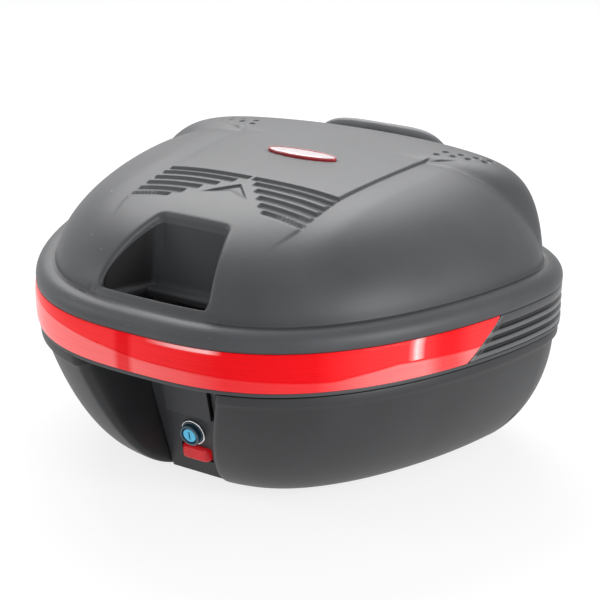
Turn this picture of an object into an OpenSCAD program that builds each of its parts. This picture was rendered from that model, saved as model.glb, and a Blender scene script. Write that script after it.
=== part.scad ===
// Motorcycle top case: lower tub, hinged lid with a handle slot and a wrap-round
// reflector, key lock with a latch bolt, and a quick-release catch underneath.
// X is the width, -Y the lock side, +Y the hinge side, Z up. The origin is on the
// ground plane, in the middle of the bounding box.

/* [Case outline] */
// Overall width of the case
case_w = 560; // [480:5:640]
// From the widest line to the nose of the lock side
front_len = 317; // [280:1:350]
// From the widest line to the back of the shell
rear_len = 148; // [120:1:180]
// Squareness of the nose in plan
nose_square = 2.8; // [2.4:0.1:3.2]
// Fullness of the flanks in plan
flank_full = 1.45; // [1.3:0.05:1.8]
// Squareness of the back corners in plan
rear_square = 2.15; // [2:0.05:3]

/* [Case heights] */
// Height of the tub, from the ground to the parting line
tub_h = 143; // [125:1:165]
// Height of the reflector band of the lid
band_h = 47; // [38:1:55]
// Rise of the flange above the band
flange_h = 17; // [12:1:22]
// Width of the flange, from its edge to the crease of the dome
flange_w = 21; // [16:1:26]
// Rise of the dome above the crease
dome_h = 88; // [70:1:105]

/* [Walls] */
// Wall of the tub
tub_wall = 3.2; // [2.5:0.1:4.5]
// Wall of the lid
lid_wall = 3; // [2.5:0.1:4]
// Gap between the lid and the tub
part_gap = 1.2; // [0.8:0.1:2]

/* [Handle slot] */
// Half width of the slot at the crease
slot_mouth = 72; // [64:1:80]
// Half width of the slot at its back wall
slot_back = 42; // [36:1:48]
// Depth of the slot, from the crease to its back wall
slot_depth = 63; // [54:1:70]
// How far the back wall of the slot leans back at its top
slot_lean = 16; // [8:1:20]
// Wall of the handle cup
cup_wall = 2.6; // [2:0.1:4]

/* [Lock panel] */
// Half width of the lock panel at its top
panel_top = 47; // [44:1:52]
// Half width of the lock panel at its foot
panel_foot = 35; // [32:1:40]
// Lean of the lock panel
panel_lean = 12; // [9:1:14]
// Thickness of the lock panel
panel_t = 3; // [2.5:0.1:4]
// Height of the lock centre
lock_z = 54; // [50:1:60]
// Radius of the lock sleeve
lock_r = 12; // [10:0.5:13]
// Radius of the key barrel
barrel_r = 7.6; // [6:0.1:8.5]
// Travel of the latch bolt
latch_travel = 4; // [3:0.5:4.5]
// Travel of the release button
release_travel = 6; // [5:0.5:7]

/* [Hinges] */
// Distance of each hinge from the middle
hinge_x = 70; // [55:1:85]
// Length of one hinge
hinge_len = 44; // [36:1:56]
// Radius of the hinge pin
pin_r = 3; // [2.5:0.1:4]
// Radius of the knuckles
knuckle_r = 7.5; // [6.5:0.1:9]

/* [Hidden] */

lens_proud = 1.5;                    // how far the lens stands out of the band
hinge_gap = 10;                      // from the back of the shell to the hinge axis
depth = lens_proud + front_len + rear_len + hinge_gap + knuckle_r;
nose_y = -depth / 2 + lens_proud;    // nose of the outline
wide_y = nose_y + front_len;         // widest line of the outline
back_y = wide_y + rear_len;          // back of the shell
hinge_y = back_y + hinge_gap;
hinge_z = tub_h + part_gap / 2;
band_z = tub_h + band_h;             // top of the band
crease_z = band_z + flange_h;        // foot of the dome
crown_z = crease_z + dome_h;
steps = 30;                          // segments on each half of the outline
eps = 0.01;

// ---- outline ----
function outline_x(t) = case_w / 2 * sin(t);
function outline_y(t) = let(s = abs(sin(t)))
    abs(t) <= 90
        ? wide_y - front_len * pow(max(0, 1 - pow(s, nose_square)), 1 / flank_full)
        : wide_y + rear_len * pow(max(0, 1 - pow(s, rear_square)), 1 / rear_square);
function outline(t) = [outline_x(t), outline_y(t)];
function inward(t) = let(d = outline(t + 0.2) - outline(t - 0.2)) [-d.y, d.x] / norm(d);
function edge(t, off) = outline(t) + inward(t) * off;
around = [for (i = [1:2 * steps]) -180 + 360 * i / (2 * steps)];
function lerp(a, b, u) = a + (b - a) * u;
function front_share(t) = (1 + cos(t)) / 2;

// ---- lofts ----
function flat(list) = [for (a = list) for (b = a) b];
function mean_of(ring) = let(s = [for (p = ring) 1] * ring) s / len(ring);

// Solid through a list of rings. Each end is one flat face, or a fan round the middle of its ring
module loft(rings, fan = false) {
    n = len(rings[0]);
    m = len(rings);
    sides = [for (k = [0:m - 2]) for (i = [0:n - 1]) let(j = (i + 1) % n)
        each [[k * n + i, (k + 1) * n + j, k * n + j], [k * n + i, (k + 1) * n + i, (k + 1) * n + j]]];
    ends = fan
        ? [for (i = [0:n - 1]) let(j = (i + 1) % n)
            each [[n * m, i, j], [n * m + 1, (m - 1) * n + j, (m - 1) * n + i]]]
        : [[for (i = [0:n - 1]) i], [for (i = [n - 1:-1:0]) (m - 1) * n + i]];
    points = concat(flat(rings), fan ? [mean_of(rings[0]), mean_of(rings[m - 1])] : []);
    polyhedron(points, concat(sides, ends), convexity = 8);
}

// Closed strip along the band: a section of [inset, z] points, between two angles.
// It bends at the same angles as the lid, so that the two stay parallel
module band_loft(section, from, to) {
    inner = [for (i = [2 * steps - 1:-1:1]) if (around[i] > from + 0.1 && around[i] < to - 0.1) around[i]];
    loft([for (t = concat([to], inner, [from])) [for (c = section) let(p = edge(t, c.x)) [p.x, p.y, c.y]]]);
}

// ---- tub ----
shoulder_z = 62;                     // where the wall starts to round under
foot_recess = 12;                    // height of the mounting recess in the floor
tub_front = [46, 140];               // inset at the shoulder and at the foot, lock side
tub_side = [20, 98];                 // the same at the sides and back
under_n = 2.15;                      // roundness of the turn under
rim_in = 7;                          // inset of the wall under the rim band
rim_band = 11;                       // height of the rim band
lip_in = 2.5;                        // inset of the rim band
slot_y0 = nose_y + flange_w + 1;     // front edge of the handle slot
slot_y1 = slot_y0 + slot_depth;      // back wall of the handle slot
bay_back = [slot_back + 13, panel_foot + 3];     // half width of the bay, top and foot
bay_mouth = [slot_mouth + 12, panel_foot + 12];  // half width of its mouth
panel_gap = 12.4;                    // from the face of the panel to the wall of the bay
bay_y0 = slot_y1 - cup_wall - panel_gap;         // panel plane at the parting line
mech_gap = 0.3;                      // clearance between moving bodies
fit_gap = 0.05;                      // radial clearance of a shaft in its bore

function drop(z) = (tub_h - z) / tub_h;
function panel_y(z) = bay_y0 + (tub_h - z) * tan(panel_lean);
function wall_off(t, z) = let(f = front_share(t),
        top = lerp(tub_side[0], tub_front[0], f), foot = lerp(tub_side[1], tub_front[1], f))
    z >= shoulder_z
        ? lerp(top, rim_in, (z - shoulder_z) / (tub_h - rim_band - shoulder_z))
        : let(s = (shoulder_z - z) / shoulder_z, c = pow(max(0, 1 - pow(s, under_n)), 1 / under_n))
            foot - (foot - top) * c;
// Angles of one ring of the tub: the corners of the lock bay are always among them
function bay_angles(z) = [asin(2 * lerp(bay_back[0], bay_back[1], drop(z)) / case_w),
    asin(2 * lerp(bay_mouth[0], bay_mouth[1], drop(z)) / case_w)];
side_steps = 2 * steps - 8;
function half_angles(z) = let(b = bay_angles(z))
    concat([b[0] / 3, b[0], b[1]], [for (i = [1:side_steps]) lerp(b[1], 180, i / (side_steps + 0.5))]);
function ring_angles(z) = let(h = half_angles(z), n = len(h))
    concat([for (i = [n - 1:-1:0]) -h[i]], h);
// One ring of the tub: off is added to its inset, grow moves the bay wall inwards
function bay_ring(z, insets, grow, level) = let(b = bay_angles(z), y0 = panel_y(z) + panel_gap + grow,
        a = ring_angles(z))
    [for (i = [0:len(a) - 1]) let(p = edge(a[i], insets[i]),
        w = abs(a[i]) <= b[0] + eps ? max(p.y, y0) : p.y) [p.x, w, level]];
function tub_ring(z, off, grow, level) = bay_ring(z, [for (t = ring_angles(z)) off + wall_off(t, z)], grow, level);
function rim_ring(z, off, grow) = bay_ring(z, [for (t = ring_angles(z)) off], grow, z);
function scaled(ring, k, z) = let(c = mean_of(ring))
    [for (p = ring) [c.x + (p.x - c.x) * k, c.y + (p.y - c.y) * k, z]];
function plan(ring) = [for (p = ring) [p.x, p.y]];

tub_levels = [0, 2, 6, 13, 24, 38, shoulder_z, 90, tub_h - rim_band];
foot_ring = tub_ring(0, 0, 0, 0);
foot_share = 0.9;                    // share of the foot where the recess starts
floor_z = foot_recess + 3.4;
module tub_body() {
    loft(concat([scaled(foot_ring, foot_share - 0.02, foot_recess), scaled(foot_ring, foot_share, 0)],
        [for (z = tub_levels) tub_ring(z, 0, 0, z)],
        [rim_ring(tub_h - rim_band + 1.5, lip_in, 0), rim_ring(tub_h, lip_in, 0),
         rim_ring(tub_h, rim_in + tub_wall, tub_wall)],
        [for (z = [tub_h - rim_band, 90, shoulder_z, 38, 24, floor_z + 2]) tub_ring(z, tub_wall, tub_wall, z)],
        [scaled(tub_ring(floor_z + 2, tub_wall, tub_wall, 0), 0.95, floor_z)]));
}

// Places children on the lock panel: +Z is its outward normal, +Y runs up along it
module on_panel() {
    translate([0, panel_y(lock_z), lock_z]) rotate([90 + panel_lean, 0, 0]) children();
}
function up_panel(z) = (z - lock_z) / cos(panel_lean);

wall_face = -panel_gap * cos(panel_lean);            // outer face of the bay wall, from the panel face
wall_back = wall_face - tub_wall * cos(panel_lean);  // inner face of the bay wall
window = [48, 74];                   // opening in the bay wall behind the panel
window_v = 4;                        // its middle, above the lock
post = [32, 36, -27];                // panel posts: x, upper and lower place
post_r = 3.6;
screw_r = 1.6;
catch_y = slot_y1 + 100;             // leg of the plate catch
catch_hole = [30, 26];               // opening in the floor for the catch

module posts() {
    for (s = [-1, 1]) for (v = [post[1], post[2]]) translate([s * post[0], v, 0]) children();
}

module lower_shell() {
    color("#26272a") difference() {
        tub_body();
        on_panel() translate([-window.x / 2, window_v - window.y / 2, wall_back - 4])
            cube([window.x, window.y, -wall_back - 3]);
        on_panel() posts() translate([0, 0, wall_back - 4]) cylinder(r = screw_r + 0.2, h = 12, $fn = 24);
        translate([-catch_hole.x / 2, catch_y - catch_hole.y / 2 - 3, foot_recess - 2])
            cube([catch_hole.x, catch_hole.y, 8]);
        for (p = frame_screws) translate([p.x, p.y, foot_recess - 2]) cylinder(r = screw_r - 0.2, h = 8, $fn = 24);
        for (s = [-1, 1]) for (k = base_screws) translate([s * hinge_x + k, hinge_y - 40, base_screw_z])
            rotate([-90, 0, 0]) cylinder(r = screw_r - 0.2, h = 60, $fn = 24);
    }
}

seal_h = part_gap - 0.2;
module rim_seal() {
    color("#101011") translate([0, 0, tub_h]) difference() {
        linear_extrude(seal_h) polygon(plan(rim_ring(tub_h, lip_in + 2.2, 0.8)));
        translate([0, 0, -1]) linear_extrude(4) polygon(plan(rim_ring(tub_h, lip_in + 5.2, 2.6)));
    }
}

panel_v = [up_panel(4), up_panel(122)];
panel_notch = [29, up_panel(74)];    // half width and foot of the opening for the hasp
button = [36, 15, 7, 5];             // release button: width, height, stand-out, depth behind the panel
button_v = -25;
skirt_in = 3;                        // inset of the skirt behind the panel
function panel_outline(inset) = let(w0 = panel_foot - inset, w1 = panel_top - inset,
        v0 = panel_v[0] + inset, v1 = panel_v[1] - inset) [[-w0, v0], [w0, v0], [w1, v1], [-w1, v1]];
module lock_panel() {
    color("#1d1e21") on_panel() difference() {
        union() {
            translate([0, 0, -panel_t]) linear_extrude(panel_t) polygon(panel_outline(0));
            translate([0, 0, wall_face + 0.3]) difference() {
                linear_extrude(-wall_face - panel_t - 0.2) polygon(panel_outline(skirt_in));
                translate([0, 0, -1]) linear_extrude(20) polygon(panel_outline(skirt_in + 2.2));
            }
            posts() translate([0, 0, wall_face + 0.3]) cylinder(r = post_r, h = -wall_face - panel_t, $fn = 32);
        }
        translate([-panel_notch[0], panel_notch[1], -30]) cube([2 * panel_notch[0], 90, 40]);
        translate([0, 0, -30]) cylinder(r = lock_r + fit_gap, h = 40, $fn = 64);
        translate([-button.x / 2 - 0.5, button_v - button.y / 2 - 1.1, -30]) cube([button.x + 1, button.y + 1.6, 40]);
        posts() translate([0, 0, wall_face - 1]) cylinder(r = screw_r - 0.2, h = 8, $fn = 24);
    }
}

module screw(len, head_r = 3, head_h = 2) {
    cylinder(r = screw_r - 0.2, h = len, $fn = 24);
    translate([0, 0, -head_h]) difference() {
        cylinder(r = head_r, h = head_h, $fn = 32);
        translate([-head_r * 0.7, -0.4, -1]) cube([head_r * 1.4, 0.8, 1.8]);
        translate([-0.4, -head_r * 0.7, -1]) cube([0.8, head_r * 1.4, 1.8]);
    }
}

ear_t = 2.6;
house_w = window.x + 6;
house_back = catch_y + release_travel + 20;      // back of the foot of the housing
house_low = 46;                      // height of its foot
house_top = 97;
house_deep = 34;                     // depth of its upper part
function wall_in_y(z) = panel_y(z) + panel_gap + tub_wall + 0.3;
fillet = [11, 3];                    // length and height of the fillet between the wall and the floor
function house_side(t) = [[wall_in_y(floor_z + fillet.y), floor_z + fillet.y],
    [wall_in_y(floor_z) + fillet.x, floor_z + 0.3], [house_back - t, floor_z + 0.3],
    [house_back - t, house_low - t], [wall_in_y(house_low) + house_deep - t, house_low - t],
    [wall_in_y(house_top) + house_deep - t, house_top - t], [wall_in_y(house_top - t), house_top - t]];
module side_slab(points, w) {
    translate([-w / 2, 0, 0]) rotate([90, 0, 90]) linear_extrude(w) polygon(points);
}
module lock_housing() {
    color("#151617") difference() {
        union() {
            side_slab(house_side(0), house_w);
            on_panel() for (s = [-1, 1]) for (v = [post[1], post[2]])
                translate([s > 0 ? 20 : -20 - 19, v - 6, wall_back - 0.4 - ear_t]) cube([19, 12, ear_t]);
        }
        side_slab(house_side(ear_t), house_w - 2 * ear_t);
        side_slab([[wall_in_y(floor_z) - 3, floor_z - 1], [house_back - ear_t, floor_z - 1],
            [house_back - ear_t, floor_z + 2], [wall_in_y(floor_z + 2) - 3, floor_z + 2]], house_w - 2 * ear_t);
        on_panel() translate([-house_w / 2 + ear_t, window_v - window.y / 2, wall_back - 3])
            cube([house_w - 2 * ear_t, window.y, 6]);
        on_panel() posts() translate([0, 0, wall_back - 6]) cylinder(r = screw_r + 0.2, h = 12, $fn = 24);
    }
}

module panel_screws() {
    color("#8d8f92") on_panel() posts() translate([0, 0, wall_back - 0.4 - ear_t]) screw(13);
}

// ---- lock ----
lock_out = 9;                        // stand-out of the sleeve from the panel
sleeve_deep = 14;                    // depth of the sleeve behind the panel face
drum = [9.4, 12];                    // cam drum: radius and length
bolt = [14, 6, 30];                  // latch bolt nose: width, height, place above the lock
hasp_t = 5;                          // thickness of the hasp
hasp_w = 26;                         // half width of the hasp
hasp_foot = up_panel(77);
slot_w = 1.6;
module lock_sleeve() {
    color("#2c2d30") on_panel() difference() {
        union() {
            translate([0, 0, -sleeve_deep]) cylinder(r = lock_r, h = sleeve_deep + lock_out - 1, $fn = 64);
            translate([0, 0, lock_out - 1]) cylinder(r1 = lock_r, r2 = lock_r - 1, h = 1, $fn = 64);
        }
        translate([0, 0, -sleeve_deep - 1]) cylinder(r = barrel_r + fit_gap, h = sleeve_deep + lock_out + 2, $fn = 64);
        translate([0, 0, lock_out - 1.2]) cylinder(r = barrel_r + 1.2, h = 3, $fn = 64);
    }
}
module lock_bezel() {
    color("#b9bcc0") on_panel() difference() {
        union() {
            cylinder(r = lock_r + 2.6, h = 1.6, $fn = 64);
            translate([0, 0, 1.6]) cylinder(r1 = lock_r + 2.6, r2 = lock_r + 1.4, h = 1.2, $fn = 64);
        }
        translate([0, 0, -1]) cylinder(r = lock_r, h = 6, $fn = 64);
    }
}
module key_barrel() {
    color("#17181a") on_panel() difference() {
        union() {
            translate([0, 0, -sleeve_deep - 1]) cylinder(r = barrel_r, h = sleeve_deep + lock_out - 0.4, $fn = 64);
            translate([0, 0, -sleeve_deep - 1 - drum[1]]) cylinder(r = drum[0], h = drum[1], $fn = 64);
        }
        translate([-slot_w / 2, -4.4, lock_out - 13]) cube([slot_w, 8.8, 20]);
    }
}
module key_face() {
    color("#4f9fd0") on_panel() translate([0, 0, lock_out - 1.4]) difference() {
        cylinder(r = barrel_r - 0.2, h = 1.6, $fn = 64);
        translate([-slot_w / 2 - 0.3, -4.8, -1]) cube([slot_w + 0.6, 9.6, 4]);
    }
}
// Carrier that the cam drum drives along its axis; its nose enters the hasp. Drawn in the open position.
bolt_tip = -1.2;                     // tip of the nose, from the panel face, lock open
carrier_z = -sleeve_deep - 1 - drum[1] + 2;
module latch_bolt() {
    color("#9a9da1") on_panel() difference() {
        union() {
            translate([0, 0, carrier_z]) cylinder(r = drum[0] + 3.4, h = 5, $fn = 48);
            translate([-bolt.x / 2, 0, carrier_z]) cube([bolt.x, bolt[2] + bolt.y / 2, 5]);
            translate([-bolt.x / 2, bolt[2] - bolt.y / 2, carrier_z]) cube([bolt.x, bolt.y, bolt_tip - carrier_z]);
        }
        translate([0, 0, carrier_z - 1]) cylinder(r = drum[0] + mech_gap, h = 20, $fn = 48);
    }
}

// ---- quick release ----
catch_t = 3;
catch_w = 24;
stem = [20, 5];                      // stem behind the button: width and height
button_z = lock_z + button_v * cos(panel_lean);
button_y = panel_y(button_z);
catch_y0 = button_y + panel_gap + tub_wall + 0.4;   // where the stem meets the catch
module release_button() {
    color("#c4141c") union() {
        translate([0, button_y, button_z]) intersection() {
            translate([-button.x / 2, -button.z, -button.y / 2]) cube([button.x, button.z + button[3], button.y]);
            translate([0, 9, 0]) rotate([90, 0, 0]) cylinder(r = button.x * 0.56, h = 30, $fn = 64);
        }
        translate([-stem.x / 2, button_y + button[3] - 0.1, button_z - stem.y / 2])
            cube([stem.x, catch_y0 - button_y - button[3] + 0.1, stem.y]);
    }
}
module plate_catch() {
    color("#8d8f92") union() {
        translate([-catch_w / 2, catch_y0, button_z - catch_t / 2])
            cube([catch_w, catch_y + catch_t - catch_y0, catch_t]);
        translate([-catch_w / 2, catch_y, 3]) cube([catch_w, catch_t, button_z - 3]);
        translate([-catch_w / 2, catch_y - 7, 3]) cube([catch_w, 7 + eps, catch_t]);
    }
}
spring_r = 4;
spring_wire = 0.8;
module release_spring() {
    turns = 7;
    pitch = (house_back - ear_t - catch_y - catch_t - 2 * spring_wire - 0.4) / turns;
    color("#a9acb0") translate([0, catch_y + catch_t + spring_wire + 0.1, button_z - 9])
        for (i = [0:turns]) translate([0, i * pitch, 0]) rotate([90, 0, 0])
            rotate_extrude($fn = 32) translate([spring_r, 0]) circle(r = spring_wire, $fn = 16);
}

// ---- mounting interface under the floor ----
frame_t = 3.5;                       // thickness of the steel floor frame
frame_size = [144, 124];
frame_mid = catch_y - 13 + frame_size.y / 2;
frame_screws = [for (x = [-1, 1]) for (y = [-1, 1]) [x * (frame_size.x / 2 - 9), frame_mid + y * (frame_size.y / 2 - 9)]];
claw_x = 48;                         // place of each claw from the middle
claw = [34, 18, 2];                  // claw: width, length, thickness
claw_y = frame_mid + frame_size.y / 2 - 32;
module floor_frame() {
    color("#5e6164") difference() {
        translate([-frame_size.x / 2, frame_mid - frame_size.y / 2, foot_recess - frame_t])
            cube([frame_size.x, frame_size.y, frame_t]);
        translate([-frame_size.x / 2 + 20, frame_mid - frame_size.y / 2 + 34, 0])
            cube([frame_size.x - 40, frame_size.y - 72, 20]);
        translate([-catch_hole.x / 2, catch_y - catch_hole.y / 2 - 3, 0]) cube([catch_hole.x, catch_hole.y, 20]);
        for (p = frame_screws) translate([p.x, p.y, 0]) cylinder(r = screw_r + 0.2, h = 20, $fn = 24);
    }
}
module floor_screws() {
    color("#8d8f92") for (p = frame_screws) translate([p.x, p.y, foot_recess - frame_t]) screw(9, 3, 1.6);
}
module front_claws() {
    leg = foot_recess - frame_t - 1;
    color("#8d8f92") for (s = [-1, 1]) translate([s * claw_x - claw.x / 2, claw_y, 1]) {
        cube([claw.x, claw.z, leg]);
        cube([claw.x, claw.y, claw.z]);
    }
}

// ---- hinges ----
knuckles = 5;
base_screws = [-hinge_len / knuckles, hinge_len / knuckles];          // between the knuckles of the base
leaf_screws = [-2 * hinge_len / knuckles, 2 * hinge_len / knuckles];  // beside the knuckles of the leaf
base_screw_z = tub_h - 6;
leaf_screw_z = tub_h + part_gap + 7;
function hinge_plan(x, off) = let(n = 6, x0 = x - hinge_len / 2, x1 = x + hinge_len / 2)
    concat([for (i = [0:n]) let(xi = lerp(x0, x1, i / n), t = 180 - asin(2 * xi / case_w)) [xi, edge(t, off).y]],
        [[x1, hinge_y - knuckle_r - 0.5], [x0, hinge_y - knuckle_r - 0.5]]);
module knuckle_row(first, z0, z1) {
    step = hinge_len / knuckles;
    for (k = [first:2:knuckles - 1]) translate([-hinge_len / 2 + k * step + 0.15, hinge_y, 0]) {
        translate([0, 0, hinge_z]) rotate([0, 90, 0]) cylinder(r = knuckle_r, h = step - 0.3, $fn = 48);
        translate([0, -knuckle_r - 1, z0]) cube([step - 0.3, knuckle_r + 1, z1 - z0]);
    }
}
module hinge_part(x, first, off, z0, z1, screws, screw_z) {
    color("#1d1e21") difference() {
        union() {
            translate([x, 0, 0]) knuckle_row(first, z0, z1);
            translate([0, 0, z0]) linear_extrude(z1 - z0) polygon(hinge_plan(x, off));
        }
        translate([x - hinge_len, hinge_y, hinge_z]) rotate([0, 90, 0])
            cylinder(r = pin_r + fit_gap, h = 2 * hinge_len, $fn = 48);
        for (k = screws) translate([x + k, 0, screw_z]) rotate([-90, 0, 0])
            cylinder(r = screw_r + 0.2, h = 400, $fn = 24);
    }
}
module hinge_base(s) { hinge_part(s * hinge_x, 0, lip_in - 0.02, tub_h - 9, tub_h - 1.5, base_screws, base_screw_z); }
module hinge_base_left() { hinge_base(-1); }
module hinge_base_right() { hinge_base(1); }
module hinge_leaf(s) {
    hinge_part(s * hinge_x, 1, lid_lip - 0.02, tub_h + part_gap + 1.5, tub_h + part_gap + 10, leaf_screws, leaf_screw_z);
}
module hinge_leaf_left() { hinge_leaf(-1); }
module hinge_leaf_right() { hinge_leaf(1); }
screw_back_y = hinge_y - knuckle_r - 0.5;
module hinge_screw_row(places, z) {
    color("#8d8f92") for (s = [-1, 1]) for (k = places)
        translate([s * hinge_x + k, screw_back_y, z]) rotate([90, 0, 0]) screw(15, 2.8, 1.4);
}
module hinge_base_screws() { hinge_screw_row(base_screws, base_screw_z); }
module hinge_leaf_screws() { hinge_screw_row(leaf_screws, leaf_screw_z); }
module hinge_pins() {
    color("#b9bcc0") for (s = [-1, 1]) translate([s * hinge_x - hinge_len / 2, hinge_y, hinge_z])
        rotate([0, 90, 0]) cylinder(r = pin_r, h = hinge_len, $fn = 48);
}

// ---- lid ----
lid_lip = 0.8;                       // inset of the lid's lip
lid_in = 8.5;                        // inset of the inner face of the lid's skirt
band_in = 5;                         // depth of the rebate for the lens and grilles
lid_z = tub_h + part_gap;            // underside of the lid
band_low = tub_h + 5.5;
band_high = band_z - 2.5;
lens_end = [63.8, 70.8];             // angle of the lens ends, at the foot and at the top
band_turn = [60, 72, 119.4];         // angles: start of the grille strip, end of the lens strip, end of the grille
dome_mid_y = wide_y + 26;            // plan centre of the dome
dome_front = [4, 1.6];               // roundness of the dome in plan and in height, front and flanks
dome_back = [7, 7];                  // the same at the back
dome_turn = [100, 140];              // angles between which one becomes the other
dome_steps = [for (i = [1:11]) 7.8 * i];

function smooth(u) = let(v = min(1, max(0, u))) v * v * (3 - 2 * v);
function lid_ring(z, off, off_back) = [for (t = around)
    let(p = edge(t, abs(t) < band_turn[2] + 1 ? off : off_back)) [p.x, p.y, z]];
function dome_ring(a, off, z, h) = [for (t = around)
    let(u = smooth((abs(t) - dome_turn[0]) / (dome_turn[1] - dome_turn[0])),
        k = pow(cos(a), 2 / lerp(dome_front[0], dome_back[0], u)),
        f = pow(sin(a), 2 / lerp(dome_front[1], dome_back[1], u)), p = edge(t, off))
    [p.x * k, dome_mid_y + (p.y - dome_mid_y) * k, z + h * f]];
function reversed(list) = [for (i = [len(list) - 1:-1:0]) list[i]];
function dome_rings(off, z, h) = concat([dome_ring(0, off, z, h)], [for (a = dome_steps) dome_ring(a, off, z, h)]);

flange_rings = [lid_ring(band_z + 0.5, 0, 0), lid_ring(lerp(band_z, crease_z, 0.35), 0.9, 0.9),
    lid_ring(lerp(band_z, crease_z, 0.68), 4, 4), lid_ring(lerp(band_z, crease_z, 0.92), 11, 11)];
lid_inner = concat(reversed(dome_rings(flange_w + lid_wall, crease_z - 2.5, dome_h - lid_wall + 2.5)),
    [lid_ring(lerp(band_z, crease_z, 0.5), 14, 14), lid_ring(band_z - 1, lid_in, lid_in), lid_ring(lid_z, lid_in, lid_in)]);
lid_outer = concat([lid_ring(lid_z, lid_lip, lid_lip), lid_ring(band_low - 0.4, lid_lip, lid_lip),
    lid_ring(band_low, band_in, lid_lip), lid_ring(band_high, band_in, lid_lip), lid_ring(band_high + 0.3, 0.3, 0.3)],
    flange_rings, dome_rings(flange_w, crease_z, dome_h));

mouth_turn = asin(2 * slot_mouth / case_w);      // angle of the mouth of the slot
slot_off = flange_w + 1;             // inset of the front edge of the slot
// Plan of the slot: front row, one side, back row, other side. Insets: front row, sides, back row
function slot_plan(front, side, back) = let(
    mouth = edge(mouth_turn * (1 - side * 1.2 / slot_mouth), front), rear = [slot_back - side * 0.6, slot_y1 - back])
    concat([for (i = [-5:5]) edge(mouth_turn * (1 - side * 1.2 / slot_mouth) * i / 5, front)],
        [for (u = [0.25, 0.5, 0.75]) lerp(mouth, rear, u)],
        [for (i = [2:-1:-2]) [rear.x * i / 2, rear.y]],
        [for (u = [0.75, 0.5, 0.25]) let(p = lerp(mouth, rear, u)) [-p.x, p.y]]);
function at_height(list, z) = [for (p = list) [p.x, p.y, z]];
badge_y = wide_y - 29;               // middle of the badge
badge = [42, 12];                    // half axes of the badge
badge_z = crown_z - 0.3;
pad_y = back_y - flange_w + 0.3;     // face of the backrest on the lid
pad = [164, 17, 84];                 // backrest: width, thickness, height
pad_z = crown_z + 8 - pad.z;
pad_screw = [48, pad_z + 26];
pad_seat_y = edge(180 - asin(2 * pad_screw.x / case_w), flange_w + lid_wall + 1).y;
hasp_screw_z = lid_z + 13;
module lid_shell() {
    color("#3d3e42") difference() {
        loft(concat(lid_inner, lid_outer), true);
        translate([0, 0, lid_z - 5]) linear_extrude(300) polygon(slot_plan(slot_off, 0, -slot_lean));
        for (s = [-1, 1]) translate([s * pad_screw.x, 0, pad_screw.y]) rotate([-90, 0, 0])
            cylinder(r = screw_r + 0.2, h = 400, $fn = 24);
        for (s = [-1, 1]) for (k = leaf_screws) translate([s * hinge_x + k, hinge_y - 40, leaf_screw_z])
            rotate([-90, 0, 0]) cylinder(r = screw_r - 0.2, h = 60, $fn = 24);
    }
}

// Height of the dome over a point of the slot, found in a few passes
function dome_share(x, y, k = 0.8, passes = 5) = passes == 0 ? min(1, k)
    : dome_share(x, y, (dome_mid_y - y) / (dome_mid_y - edge(asin(2 * x / k / case_w), flange_w).y), passes - 1);
function dome_z(x, y) = let(c = pow(dome_share(x, y), dome_front[0] / 2))
    crease_z + dome_h * pow(sqrt(1 - c * c), 2 / dome_front[1]);
function on_dome(list, sink) = [for (p = list) [p.x, p.y, dome_z(p.x, p.y) - sink]];

ledge = [8, 4, 12.5];                // ledge round the slot: height, depth at the sides and at the back
ledge_z = crease_z - 1;
cup_foot = 2.6;
cup_rim = 18;                        // half angle of the foot flange at the front
// Closed tube through a list of rings, the last joined to the first
module tube(rings) {
    n = len(rings[0]);
    m = len(rings);
    polyhedron(flat(rings), [for (k = [0:m - 1]) for (i = [0:n - 1]) let(j = (i + 1) % n, l = (k + 1) % m)
        each [[k * n + i, l * n + j, k * n + j], [k * n + i, l * n + i, l * n + j]]], convexity = 8);
}
module handle_cup() {
    outer = slot_plan(slot_off, 0, 0);
    beam = slot_plan(12, 0, 0);
    outer_top = slot_plan(slot_off, 0, -slot_lean);
    inner_top = slot_plan(slot_off + cup_wall, cup_wall, cup_wall - slot_lean);
    inner = slot_plan(slot_off + cup_wall, cup_wall, cup_wall);
    shelf = slot_plan(slot_off + cup_wall + 0.3, cup_wall + ledge[1], cup_wall + ledge[2]);
    foot = let(p = edge(cup_rim, lid_in + 0.7), q = [bay_back[0] + 6, slot_y1 + 7]) concat(
        [for (i = [-5:5]) edge(cup_rim * i / 5, lid_in + 0.7)], [for (u = [0.25, 0.5, 0.75]) lerp(p, q, u)],
        [for (i = [2:-1:-2]) [q.x * i / 2, q.y]], [for (u = [0.75, 0.5, 0.25]) let(r = lerp(p, q, u)) [-r.x, r.y]]);
    color("#232427") difference() {
        tube([at_height(foot, lid_z), at_height(foot, lid_z + cup_foot), at_height(beam, lid_z + cup_foot),
            at_height(beam, crease_z - 12), at_height(outer, crease_z - 11), on_dome(outer_top, 1), on_dome(inner_top, 1),
            at_height(inner, ledge_z), at_height(shelf, ledge_z), at_height(shelf, ledge_z - ledge[0]),
            at_height(inner, ledge_z - ledge[0]), at_height(inner, lid_z)]);
        for (s = [-1, 1]) translate([s * 15, slot_y1 - 30, hasp_screw_z]) rotate([-90, 0, 0])
            cylinder(r = screw_r + 0.2, h = 60, $fn = 24);
    }
}

lens_z = [band_low + 0.3, band_high - 0.3];
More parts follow.
